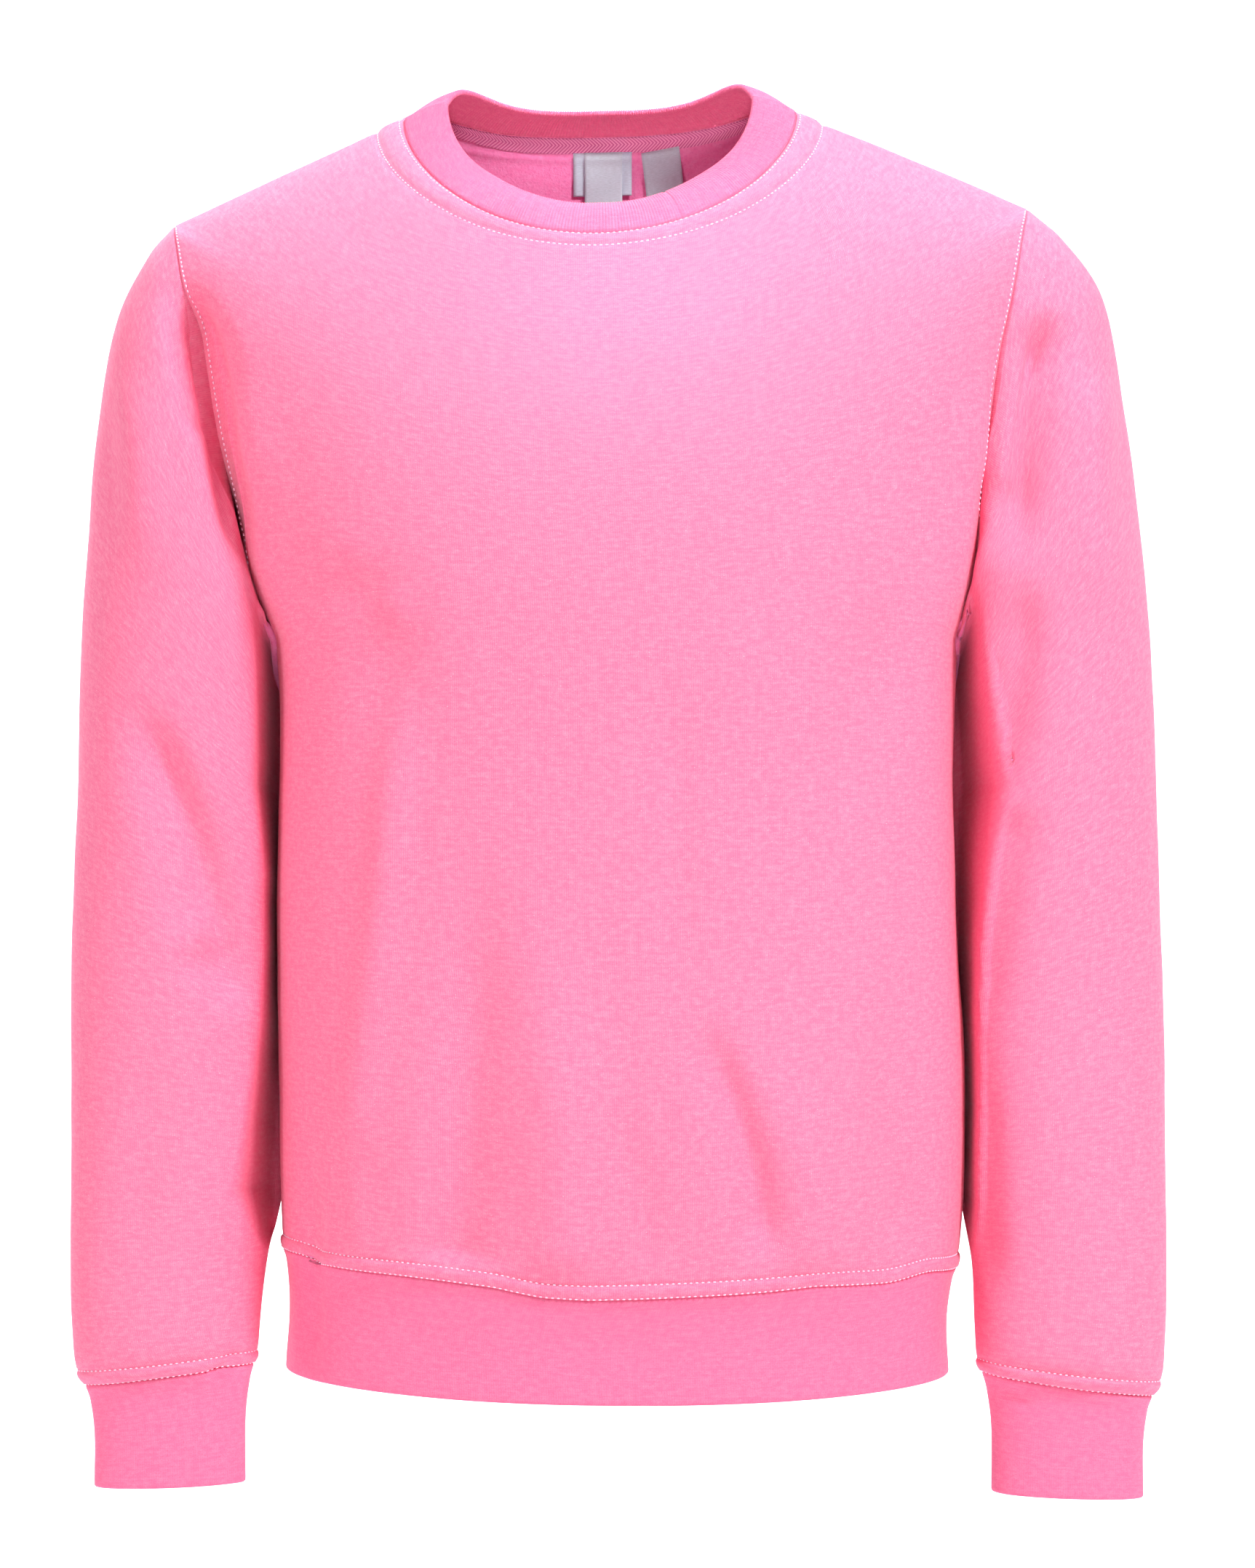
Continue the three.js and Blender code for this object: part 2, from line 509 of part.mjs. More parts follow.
function sleevePieces(side, name) {
  const loop = armholeLoop(frontGrid, backGrid, side);
  const shares = loopShares(loop);
  const sleeve = ringsBelow(loop, sleeveRings, shares, side);
  const cuff = ringsBelow(sleeve[sleeve.length - 1], cuffRings, shares, side);
  return [
    { name: `sleeve_${name}`, grid: sleeve, closed: true, flip: side < 0 },
    { name: `cuff_${name}`, grid: cuff, closed: true, flip: side < 0, rib: true },
  ];
}
const panels = [
  { name: "front_panel", grid: frontGrid, levels },
  { name: "back_panel", grid: reversed(backGrid), levels },
];
const tubes = [
  ...sleevePieces(1, "left"),
  ...sleevePieces(-1, "right"),
  { name: "hem_band", grid: bandGrid(roundTrip(frontGrid[0], backGrid[0])), closed: true, flip: true, rib: true },
  { name: "collar", grid: collarGrid(roundTrip(frontGrid.at(-1), backGrid.at(-1))), closed: true, rib: true },
];
const pieces = [...panels, ...tubes];

function setNormals() {
  for (const piece of pieces) piece.normals = normalsOf(piece);
  shareNormals([panels, tubes]);
}
for (const piece of pieces) piece.grid = piece.grid.map((row) => row.map(stance));
setNormals();
for (const piece of pieces)
  piece.grid = piece.grid.map((row, r) =>
    row.map((p, i) => {
      const normal = piece.normals[r][i];
      const ridge = piece.levels ? ridgeAt(piece.levels[r]) : 0;
      return p.clone().addScaledVector(normal, foldAt(p, normal) + ridge);
    }),
  );
setNormals();

const sweatshirt = new THREE.Group();
sweatshirt.name = "sweatshirt";
function addMesh(name, geometry, finish) {
  const mesh = new THREE.Mesh(geometry, new THREE.MeshStandardMaterial({ metalness: 0, ...finish }));
  mesh.name = name;
  sweatshirt.add(mesh);
}
const finishes = {
  fleece: { color: 0xf786b4, roughness: 0.95 },
  rib: { color: 0xee78aa, roughness: 0.92 },
  tape: { color: 0xf283b2, roughness: 0.85 },
  label: { color: 0xd9dce3, roughness: 0.7 },
  satin: { color: 0xb4b9c4, roughness: 0.45 },
};
for (const piece of pieces) {
  piece.outer = drawBack(piece, seamGap / 2);
  const { outer, normals } = piece;
  const turned = (grid) => grid.map(([first, ...rest]) => [first, ...rest.reverse()]);
  const [grid, facing] = piece.flip ? [turned(outer), turned(normals)] : [outer, normals];
  const geometry = wall(grid, facing, piece.rib ? ribbing : fleece, piece.closed);
  addMesh(piece.name, geometry, piece.rib ? finishes.rib : finishes.fleece);
}

// The inside of the back panel, from its neck seam down, as lines across it from left to right.
const back = panels[1];
const insideLines = setIn(back.outer, back.normals, fleece)
  .map((row, r) => row.map((p, i) => ({ p, normal: back.normals[r][i] })))
  .reverse();

// The place on a line across the inside at a sideways distance, and its normal.
function acrossAt(line, x) {
  const k = between(1, line.findIndex(({ p }) => p.x < x), line.length - 1);
  const t = (line[k - 1].p.x - x) / (line[k - 1].p.x - line[k].p.x);
  return {
    p: line[k - 1].p.clone().lerp(line[k].p, t),
    normal: line[k - 1].normal.clone().lerp(line[k].normal, t).normalize(),
  };
}

// The place at that distance and a drop along the cloth from the neck seam.
function insideAt(x, drop) {
  let above = acrossAt(insideLines[0], x);
  let left = drop;
  for (const line of insideLines.slice(1)) {
    const below = acrossAt(line, x);
    const step = above.p.distanceTo(below.p);
    if (left <= step)
      return { p: above.p.lerp(below.p, left / step), normal: above.normal.lerp(below.normal, left / step) };
    left -= step;
    above = below;
  }
  return above;
}

// A strip of trim laid on the inside, from a function that gives its places, row by row up it.
function layTrim(name, rows, columns, placeAt, depth, finish) {
  const places = Array.from({ length: rows + 1 }, (_, r) =>
    Array.from({ length: columns + 1 }, (_, i) => placeAt(i / columns, r / rows)),
  );
  const normals = places.map((row) => row.map(({ normal }) => normal));
  const outer = setIn(places.map((row) => row.map(({ p }) => p)), normals, depth);
  addMesh(name, wall(outer, normals, trim, false), finish);
}

const neckLine = insideLines[0].map(({ p }) => p);
const tapeHalf = (neckLine[0].x - neckLine.at(-1).x) / 2;
const tapeMiddle = (neckLine[0].x + neckLine.at(-1).x) / 2;
const tapePlace = (u, v) =>
  insideAt(tapeMiddle + tapeHalf * Math.sin((0.5 - u) * Math.PI * tapeEnd), mix(tapeTop + tapeWidth, tapeTop, v));
layTrim("neck_tape", 2, backColumns, tapePlace, layGap, finishes.tape);

for (const label of labels) {
  const place = (u, v) => {
    const across = (0.5 - u) * label.width;
    const down = (1 - v) * label.length;
    const x = label.x + across * Math.cos(label.tilt) + down * Math.sin(label.tilt);
    const drop = down * Math.cos(label.tilt) - across * Math.sin(label.tilt);
    return insideAt(x, tapeTop + tapeWidth + seamGap + Math.max(0, (label.width / 2) * Math.sin(label.tilt)) + drop);
  };
  const depth = layGap + label.layer * (trim + layGap);
  layTrim(label.name, 7, 4, place, depth, label.layer ? finishes.satin : finishes.label);
}

export default sweatshirt;
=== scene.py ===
import math

import bmesh
import bpy
import numpy as np
from mathutils import Matrix, Vector, noise


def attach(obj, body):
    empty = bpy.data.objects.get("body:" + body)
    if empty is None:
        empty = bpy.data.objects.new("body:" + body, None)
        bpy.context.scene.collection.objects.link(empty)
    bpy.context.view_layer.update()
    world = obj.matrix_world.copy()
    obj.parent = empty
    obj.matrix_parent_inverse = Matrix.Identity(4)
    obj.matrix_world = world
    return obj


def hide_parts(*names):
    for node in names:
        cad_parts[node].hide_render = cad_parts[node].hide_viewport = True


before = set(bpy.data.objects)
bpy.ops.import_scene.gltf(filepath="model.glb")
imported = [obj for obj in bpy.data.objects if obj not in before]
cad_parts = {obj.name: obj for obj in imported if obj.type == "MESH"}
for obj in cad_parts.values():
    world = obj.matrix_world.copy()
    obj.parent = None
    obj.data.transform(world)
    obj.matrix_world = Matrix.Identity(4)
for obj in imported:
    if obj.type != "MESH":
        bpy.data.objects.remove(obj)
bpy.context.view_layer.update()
mm = 0.001


view = {"place": (0.006, -2.795, -0.3765), "lens": 114.03, "sensor": 36.0}
cameraData = bpy.data.cameras.new("frontCamera")
cameraData.sensor_fit = "VERTICAL"
cameraData.sensor_height = view["sensor"]
cameraData.lens = view["lens"]
camera = bpy.data.objects.new("frontCamera", cameraData)
camera.location = view["place"]
camera.rotation_euler = (math.radians(90), 0, 0)
bpy.context.collection.objects.link(camera)
bpy.context.scene.camera = camera

softboxes = {
    "rightBox": {"place": (1.45, -1.75, 1.75), "aim": (0, 0, -0.3), "size": 0.6, "watts": 106},
    "leftBox": {"place": (-1.7, -1.5, 1.9), "aim": (0, 0, -0.2), "size": 0.6, "watts": 48},
    "neckBox": {"place": (0.0, -1.2, -0.3), "aim": (0, 0.08, -0.01), "size": 0.15, "watts": 0.075, "spread": 16},
    "backdropBox": {"place": (0.0, 1.6, 2.6), "aim": (0, 3.6, -0.6), "size": 2.6, "watts": 190},
    "wallBox": {"place": (0.0, 4.4, 3.4), "aim": (0, 8.2, 0.2), "size": 3.4, "watts": 430},
    "backBox": {"place": (-1.4, 2.6, 1.6), "aim": (0, 0, -0.3), "size": 0.9, "watts": 60},
}
for boxName, box in softboxes.items():
    lightData = bpy.data.lights.new(boxName, "AREA")
    lightData.size = box["size"]
    lightData.energy = box["watts"]
    lightData.spread = math.radians(box.get("spread", 180))
    lamp = bpy.data.objects.new(boxName, lightData)
    lamp.visible_camera = False
    lamp.location = box["place"]
    lamp.rotation_euler = (Vector(box["aim"]) - Vector(box["place"])).to_track_quat("-Z", "Y").to_euler()
    bpy.context.collection.objects.link(lamp)

world = bpy.data.worlds.new("studio")
bpy.context.scene.world = world
world.use_nodes = True
world.node_tree.nodes["Background"].inputs["Color"].default_value = (1, 1, 1, 1)
world.node_tree.nodes["Background"].inputs["Strength"].default_value = 0.15
bpy.context.scene.view_settings.view_transform = "Standard"  # so that the cloth keeps its own clear pink

floorShape = {"width": 18.0, "front": -6.0, "back": 9.0, "height": 5.0, "level": -0.95, "bend": 1.8}


def makeFloor():
    bm = bmesh.new()
    bmesh.ops.create_grid(bm, x_segments=2, y_segments=80, size=1)
    run = floorShape["back"] - floorShape["front"]
    quarter = floorShape["bend"] * math.pi / 2
    total = run - floorShape["bend"] + quarter + floorShape["height"]
    for vert in bm.verts:
        along = (vert.co.y + 1) / 2 * total - (run - floorShape["bend"])
        turn = min(max(along, 0), quarter) / floorShape["bend"]
        y = floorShape["back"] - floorShape["bend"] + min(along, 0) + floorShape["bend"] * math.sin(turn)
        z = floorShape["level"] + floorShape["bend"] * (1 - math.cos(turn)) + max(along - quarter, 0)
        vert.co = (vert.co.x * floorShape["width"] / 2, y, z)
    mesh = bpy.data.meshes.new("studioFloor")
    bm.to_mesh(mesh)
    bm.free()
    mesh.polygons.foreach_set("use_smooth", [True] * len(mesh.polygons))
    floor = bpy.data.objects.new("studioFloor", mesh)
    bpy.context.collection.objects.link(floor)
    paper = bpy.data.materials.new("palePaper")
    paper.use_nodes = True
    shader = paper.node_tree.nodes["Principled BSDF"]
    shader.inputs["Base Color"].default_value = (0.93, 0.93, 0.94, 1)
    shader.inputs["Roughness"].default_value = 0.9
    mesh.materials.append(paper)


makeFloor()
print("camera, lights and floor ready")


# pattern tables, in millimetres
# levels run up the cloth from the hem seam
marks = {"armpit": 364, "shoulder": 524, "neck": 588, "ease": 30, "seamY": 5}
stanceShift = {"neck": 9.5, "hip": 3, "arm": 1.2, "shoulderTilt": 0.02, "hemTilt": 0.02, "cuff": 3}
frontCentre = {
    "level": (0, 84, 184, 284, 364, 430, 497, 524, 560, 588),
    "y": (-126, -132, -131, -131, -134, -133, -124, -118, -106, -95),
    "z": (-653, -570, -471, -373, -298, -232, -166, -140, -104, -76.5),
    "square": (2.3, 2.3, 2.3, 2.3, 2.3, 2.25, 2.15, 2.1, 2.05, 2),
    "rise": (2, 2, 2, 2, 2, 1.9, 1.7, 1.5, 1.3, 1.15),
    "hump": (0, 0, 0, 0, 0, 0, 0, 0, 0, 0),
}
backCentre = {
    "level": (0, 84, 184, 284, 364, 430, 497, 524, 560, 588),
    "y": (109, 108, 104, 107, 114, 120, 119, 113, 97, 82),
    "z": (-643, -560, -464, -368, -292, -222, -150, -114, -53, -0.3),
    "square": (2.3, 2.3, 2.3, 2.3, 2.3, 2.25, 2.15, 2.1, 2.05, 2),
    "rise": (2, 2, 2, 2, 2, 1.9, 1.7, 1.6, 1.6, 1.8),
    "hump": (0, 0, 0, 0, 0, 0, 0, 0, 3, 8.5),  # over the top of the shoulder, beside the neck
}
sideSeam = {
    "level": (0, 84, 184, 284, 364),
    "x": (190, 193, 191.5, 189, 191),
    "y": (5, 5, 5, 5, 5),
    "z": (-643, -562, -465, -369, -296),
}
frontArmhole = {
    "level": (364, 374, 385, 395, 430, 465, 497, 508, 517, 524),
    "x": (191, 193.5, 197, 200, 207, 218, 231, 235, 238.5, 240),
    "y": (5, -11, -25, -34, -48, -55, -44, -32, -15, 5),
    "z": (-296, -292, -280, -265, -215, -160, -100, -79, -63, -57),
}
backArmhole = {
    "level": (364, 374, 385, 395, 430, 465, 497, 508, 517, 524),
    "x": (191, 193.5, 197.5, 202, 211, 221, 232, 235.5, 238.5, 240),
    "y": (5, 21, 35, 44, 57, 61, 48, 36, 22, 5),
    "z": (-296, -292, -279, -263, -212, -156, -98, -78, -63, -57),
}
shoulderSeam = {
    "level": (524, 560, 588),
    "x": (240, 169, 111),
    "y": (5, 5, 5),
    "z": (-57, -25.5, 0),
}
sleeveCut = {
    "along": (0, 18, 55, 110, 180, 255, 335, 415, 505, 585, 640, 654, 662),
    "outX": (0, 256, 276, 288, 296, 301.5, 304, 306, 306.5, 306, 304, 302, 297.5),
    "outZ": (0, -73, -107, -165, -238, -314, -394, -474, -564, -640, -692, -706, -714),
    "inX": (0, 188, 184, 181, 180, 179, 179, 180, 185, 195.5, 199.5, 200.5, 202.5),
    "inZ": (0, -304, -316, -337, -362, -398, -446, -504, -574, -636, -684, -694, -701),
    "y": (0, 4, 4, 3, 2, 2, 1, -3, -10, -18, -24, -25.5, -26),
    "depth": (0, 66, 68, 68, 65, 62, 58, 54, 48, 42, 37, 33, 29.5),
}
cuffCut = {
    "along": (0, 8, 28, 56),
    "outX": (0, 294.5, 292, 292),
    "outZ": (0, -722, -741, -769),
    "inX": (0, 205, 207.5, 207.5),
    "inZ": (0, -710, -731, -766),
    "y": (0, -27, -28, -29),
    "depth": (0, 25, 22.5, 21.5),
}
bandCut = {"drop": (0, 7, 28, 57), "inset": (0, 2.5, 5, 4), "evenness": 0.35}
hemWave = {  # how far the hem seam rises or dips along the front; the left side seam ends with a step
    "x": (-194, -178, -172, -168, -160, -118, -92, -66, -40, -14, 29, 82, 107, 149, 170, 190),
    "rise": (4, 4, 3.5, 0, 2, 3.5, 3.5, 2.5, -1.5, -2, 0, 2, 3.5, 1, 4, 0),
    "upward": 42, "downward": 46,
}
collarCut = {
    "turn": (0, 45, 72, 92, 112, 140, 180),
    "inward": (17, 19, 22, 23.5, 24, 22, 21),
    "up": (18, 15.5, 10, 9, 11.3, 10.3, 10.8),
    "crown": 0.16,
}

# folds seen from the front: x0, z0, x1, z1, bow, width, depth, start, end
frontFolds = [
    (-171, -712, -173, -540, 2, 9, -6, 40, 90),
    (-150, -600, -116, -300, 6, 12, 5.5, 60, 90),
    (-89, -640, -72, -380, 0, 19, -8, 12, 130),
    (-30, -655, -42, -430, 4, 21, 7.5, 30, 120),
    (80, -640, 38, -490, 8, 12, -6.5, 30, 60),
    (112, -648, 66, -505, 8, 18, 5, 20, 80),
    (164, -640, 150, -480, -8, 13, -5, 30, 90),
    (-206, -150, -176, -330, 8, 17, 5, 50, 90),
    (-140, -246, -128, -400, -6, 24, -5, 60, 90),
    (200, -150, 176, -330, -8, 17, 5, 50, 90),
    (150, -262, 126, -420, 6, 22, -4, 60, 80),
    (-249, -88, -226, -196, -5, 11, -4.5, 30, 60),
    (246, -112, 216, -150, -5, 11, -5, 14, 20),
    (-270, -340, -235, -470, -5, 13, -5, 50, 30),
    (-243, -462, -198, -502, 0, 12, -5, 20, 20),
    (228, -262, 206, -400, 5, 13, -6, 40, 40),
    (222, -384, 204, -560, 7, 13, -5, 24, 90),
]
backFolds = [
    (-150, -640, -96, -430, 8, 22, -6, 12, 120),
    (-60, -645, -34, -450, -6, 24, 5, 12, 110),
    (12, -645, -8, -420, 5, 20, -5, 10, 130),
    (92, -645, 60, -440, 7, 24, 5, 12, 110),
    (152, -640, 110, -450, -8, 18, -5, 12, 100),
    (-196, -170, -130, -360, -14, 20, -6, 50, 110),
    (196, -170, 134, -350, 14, 20, -6, 50, 110),
    (-280, -350, -228, -430, 5, 13, -5, 30, 40),
    (284, -330, 230, -420, -6, 13, -5, 30, 40),
    (276, -420, 226, -480, 4, 11, -4, 24, 30),
]
# smaller creases that only the cloth shows
frontCreases = [
    (-171.5, -660, -172.5, -560, 1, 1.6, -1.1, 10, 50),
    (-222, -118, -206, -170, -3, 5, -1.6, 16, 30),
    (210, -306, 196, -345, 3, 6, -2.2, 12, 20),
    (-226, -705, -206, -690, 0, 3.5, -2.6, 6, 8),
    (214, -712, 232, -722, 0, 3.2, -1.6, 6, 8),
    (-284, -150, -272, -260, 2, 9, -1.8, 40, 50),
    (278, -160, 268, -270, -3, 9, -1.6, 40, 50),
    (-250, -520, -262, -660, 4, 14, -2, 40, 60),
    (262, -420, 252, -640, -5, 16, -2, 60, 80),
    (20, -640, -4, -540, 3, 10, -1.6, 16, 50),
    (-140, -640, -150, -560, 3, 8, 1.6, 16, 50),
    (30, -300, 34, -520, 0, 12, -2, 70, 70),
    (-186, -258, -124, -272, 2, 12, -2.6, 14, 30),
    (-126, -268, -112, -300, 0, 10, 2, 12, 20),
    (84, -636, 44, -500, 7, 6, -2.4, 20, 50),
    # beside the body, where the sleeves turn back into the dark
    (-241, -100, -204, -262, -4, 11, -11, 30, 40),
    (-244, -169, -220, -182, 0, 5, -2.6, 8, 10),
    (-270, -325, -208, -498, -8, 12, -9, 50, 30),
    (240, -112, 215, -262, 4, 15, -15, 26, 50),
    (213, -208, 202, -228, 0, 6, -4, 8, 10),
    (226, -256, 214, -390, -4, 12, -4, 40, 50),
    (204, -510, 206, -670, 0, 10, -4, 60, 40),
    (264, -140, 270, -300, 3, 15, 7, 40, 60),
    (-268, -140, -262, -270, -3, 14, 4, 40, 50),
]
backCreases = []
cloth = {"fleece": 1.8, "rib": 3.0, "trim": 0.45}
seamLook = {"groove": 0.8, "grooveWidth": 0.8, "ridge": 1.25, "hemRidge": 8, "neckRidge": 7, "cuffRidge": 8,
            "stitchDent": 0.85, "dentWidth": 0.9}
sway = {"size": 70, "height": 1.1, "smallSize": 26, "smallHeight": 0.25}


# shaping helpers

def readCurve(table, key, at, column):  # a smooth curve through a table's rows
    keys = np.array(table[key], float)
    values = np.array(table[column], float)
    last = len(keys) - 1
    lower = np.maximum(np.arange(last + 1) - 1, 0)
    upper = np.minimum(np.arange(last + 1) + 1, last)
    slopes = (values[upper] - values[lower]) / (keys[upper] - keys[lower])
    at = np.asarray(at, float)
    i = np.clip(np.searchsorted(keys[1:last], at, side="left"), 0, last - 1)
    span = keys[i + 1] - keys[i]
    t = np.clip((at - keys[i]) / span, 0, 1)
    return (
        (2 * t**3 - 3 * t**2 + 1) * values[i]
        + (t**3 - 2 * t**2 + t) * span * slopes[i]
        + (3 * t**2 - 2 * t**3) * values[i + 1]
        + (t**3 - t**2) * span * slopes[i + 1]
    )


def gridArc(grid, axis):  # distance along the cloth from the first row or column
    steps = np.linalg.norm(np.diff(grid, axis=axis), axis=-1)
    start = np.zeros_like(np.take(steps, [0], axis=axis))
    return np.concatenate([start, np.cumsum(steps, axis=axis)], axis=axis)


def readPlace(table, key, at):
    return np.stack([readCurve(table, key, at, axis) for axis in "xyz"], -1)


def smooth(edge0, edge1, value):
    t = np.clip((value - edge0) / (edge1 - edge0), 0, 1)
    return t * t * (3 - 2 * t)


def blend(a, b, t):
    return a + (b - a) * t


def unit(v):
    return v / np.maximum(np.linalg.norm(v, axis=-1, keepdims=True), 1e-9)


def stance(p):  # how the wearer stands: shoulders to one side, hips to the other
    x, y, z = p[..., 0], p[..., 1], p[..., 2]
    shoulders = smooth(-330, -120, z)
    neckwards = blend(1, 0.4, smooth(230, 280, np.abs(x)))
    inBody = smooth(215, 190, np.abs(x))
    hips = smooth(-440, -560, z) * smooth(-700, -600, z) * inBody
    hem = smooth(-450, -640, z) * blend(1, 0.35, smooth(-650, -700, z)) * inBody
    wrist = smooth(-450, -700, z) * (1 - inBody)
    moved = x - stanceShift["neck"] * shoulders * neckwards + stanceShift["hip"] * hips + stanceShift["arm"] * wrist
    tilt = x * (stanceShift["shoulderTilt"] * shoulders - stanceShift["hemTilt"] * hem)
    return np.stack([moved, y, z + tilt - np.sign(x) * stanceShift["cuff"] * wrist], -1)


def panelEdge(level, armhole):
    low = readPlace(sideSeam, "level", np.minimum(level, marks["armpit"]))
    middle = readPlace(armhole, "level", np.clip(level, marks["armpit"], marks["shoulder"]))
    high = readPlace(shoulderSeam, "level", np.maximum(level, marks["shoulder"]))
    pick = level[..., None]
    return np.where(pick <= marks["armpit"], low, np.where(pick <= marks["shoulder"], middle, high))


def arcPlaces(level, share, centre, armhole):  # a row is an arc of an oval from edge to edge
    edge = panelEdge(level, armhole)
    midY = readCurve(centre, "level", level, "y") - marks["seamY"]
    midZ = readCurve(centre, "level", level, "z")
    square = readCurve(centre, "level", level, "square")
    edgeDepth = np.clip((edge[..., 1] - marks["seamY"]) / midY, 0, 1)
    halfWidth = edge[..., 0] / np.power(1 - np.power(edgeDepth, square), 1 / square)
    turn = np.arcsin(np.minimum(1, edge[..., 0] / halfWidth)) * np.abs(share)
    across = np.sin(turn)
    climb = 1 - np.power(np.cos(np.abs(share) * math.pi / 2).clip(0), readCurve(centre, "level", level, "rise"))
    swell = np.sin(math.pi * np.power(np.abs(share), 1.8)) ** 2
    y = marks["seamY"] + midY * np.power(np.maximum(0, 1 - np.power(across, square)), 1 / square)
    z = blend(midZ, edge[..., 2], climb) + readCurve(centre, "level", level, "hump") * swell
    return np.stack([np.sign(share) * halfWidth * across, y, z], -1)


def panelGrid(levels, shares, centre, armhole):
    level, share = np.meshgrid(levels, shares, indexing="ij")
    window = np.minimum(marks["ease"], np.minimum(level, marks["neck"] - level))
    eased = sum(arcPlaces(level + k * window, share, centre, armhole) for k in (-1, -0.6, -0.2, 0.2, 0.6, 1)) / 6
    exact = arcPlaces(level, share, centre, armhole)
    return blend(eased, exact, (np.abs(share) ** 6)[..., None])


def bodySide(y, z):
    level = readCurve(sideSeam, "z", z, "level")
    front = y < marks["seamY"]

    def reach(centre):
        square = readCurve(centre, "level", level, "square")
        depth = np.minimum(1, (y - marks["seamY"]) / (readCurve(centre, "level", level, "y") - marks["seamY"]))
        wide = readCurve(sideSeam, "level", level, "x")
        return wide * np.power(1 - np.power(depth.clip(0), square), 1 / square)

    return np.where(front, reach(frontCentre), reach(backCentre))


def clearBody(p, clearance=0.35, softness=0.8):  # a sleeve flattens where it presses against the body
    limit = bodySide(p[..., 1], p[..., 2]) + clearance
    reach = np.abs(p[..., 0]) - limit
    x = limit + (reach + np.hypot(reach, softness)) / 2
    pressed = p.copy()
    pressed[..., 0] = np.where(p[..., 2] > sideSeam["z"][-1], p[..., 0], np.sign(p[..., 0]) * x)
    return pressed


def tubeGrid(first, cut, alongs, shares, side):
    turn = shares * 2 * math.pi
    out = (1 + np.cos(turn)) / 2
    knots = []
    for k in range(1, len(cut["along"])):
        x = side * blend(cut["inX"][k], cut["outX"][k], out)
        y = cut["y"][k] - cut["depth"][k] * np.sin(turn)
        z = blend(cut["inZ"][k], cut["outZ"][k], out)
        knots.append(np.stack([x, y, z], -1))
    knots = np.array([first] + knots)
    lines = {"along": cut["along"]}
    grid = np.empty((len(alongs), len(shares), 3))
    for i in range(len(shares)):
        for axis in range(3):
            lines["value"] = knots[:, i, axis]
            grid[:, i, axis] = readCurve(lines, "along", alongs, "value")
    grid[1:] = clearBody(grid[1:])
    return grid


# beside the body a sleeve turns steeply back: how far down from the neck, and how wide the turned part is
tuckCut = {
    "down": (200, 250, 320, 378, 425, 465, 510, 560, 605, 640),
    "left": (0, 10, 20, 30, 20, 14, 11, 9, 8, 0),
    "right": (0, 9, 14, 18, 9, 7, 10, 17, 24, 0),
    "share": 0.8, "behind": 24, "ends": (16, 96, 590, 655),
}


def tuckBeside(grid, column):
    away = np.abs(grid[..., 0])
    away = away - away.min(axis=1, keepdims=True)
    wide = np.interp(-grid[..., 2], tuckCut["down"], tuckCut[column])
    middle = readCurve(sleeveCut, "along", sleeveAlongs, "y")[:, None]
    start, full, lessening, end = tuckCut["ends"]
    within = smooth(start, full, sleeveAlongs) * smooth(end, lessening, sleeveAlongs)
    turned = smooth(1, 0.2, away / np.maximum(wide, 0.1)) * smooth(0, 8, wide) * within[:, None]
    grid[..., 1] += (np.maximum(0, middle - grid[..., 1]) * tuckCut["share"] + tuckCut["behind"]) * turned
    grid[1:] = clearBody(grid[1:])


def normalsOf(grid, closed, flip):
    along = np.gradient(grid, axis=0)
    if closed:
        across = np.roll(grid, -1, axis=1) - np.roll(grid, 1, axis=1)
    else:
        across = np.gradient(grid, axis=1)
    return unit(np.cross(across, along)) * (-1 if flip else 1)


def shareNormals(pieces):  # pieces that meet along a seam take one normal there
    sums = {}
    rims = []
    for piece in pieces:
        rows, columns = piece["grid"].shape[:2]
        rim = {(r, i) for r in (0, rows - 1) for i in range(columns)}
        if not piece["closed"]:
            rim |= {(r, i) for r in range(rows) for i in (0, columns - 1)}
        for r, i in rim:
            name = tuple(np.round(piece["grid"][r, i], 2))
            sums[name] = sums.get(name, 0) + piece["normals"][r, i]
            rims.append((piece, r, i, name))
    for piece, r, i, name in rims:
        piece["normals"][r, i] = unit(sums[name])


def foldDepth(p, normal, folds, frontward):
    facing = smooth(0.2, 0.65, -normal[..., 1] if frontward else normal[..., 1])
    depth = np.zeros(p.shape[:-1])
    for x0, z0, x1, z1, bow, width, height, start, end in folds:
        length = math.hypot(x1 - x0, z1 - z0)
        runX, runZ = (x1 - x0) / length, (z1 - z0) / length
        awayX, awayZ = p[..., 0] - x0, p[..., 2] - z0
        along = awayX * runX + awayZ * runZ
        share = along / length
        across = awayX * runZ - awayZ * runX - bow * 4 * share * (1 - share)
        fade = smooth(0, start, along) * smooth(0, end, length - along)
        depth += height * facing * fade * np.exp(-((across / width) ** 2))
    return depth


def swayDepth(p):  # the soft unevenness of cloth that nothing pulls flat
    flat = p.reshape(-1, 3)
    large = np.array([noise.noise(Vector(q) / sway["size"]) for q in flat])
    small = np.array([noise.noise(Vector(q) / sway["smallSize"]) for q in flat])
    return (large * sway["height"] + small * sway["smallHeight"]).reshape(p.shape[:-1])


# the panels and tubes, as grids
fineSteps = np.array([0, 0.5, 1.0, 1.6, 2.4, 3.3, 4.2, 5.2, 6.2, 7.0, 7.7, 8.4, 9.3, 10.5, 12.4])
hemLevels = np.concatenate([fineSteps, np.linspace(15, marks["armpit"], 126)])
armLevels = np.linspace(marks["armpit"], marks["shoulder"], 69)[1:]
neckSteps = marks["neck"] - fineSteps[::-1]
topLevels = np.concatenate([np.linspace(marks["shoulder"], 573.5, 21)[1:], neckSteps])
levels = np.concatenate([hemLevels, armLevels, topLevels])
armpitRow = len(hemLevels) - 1
shoulderRow = armpitRow + len(armLevels)


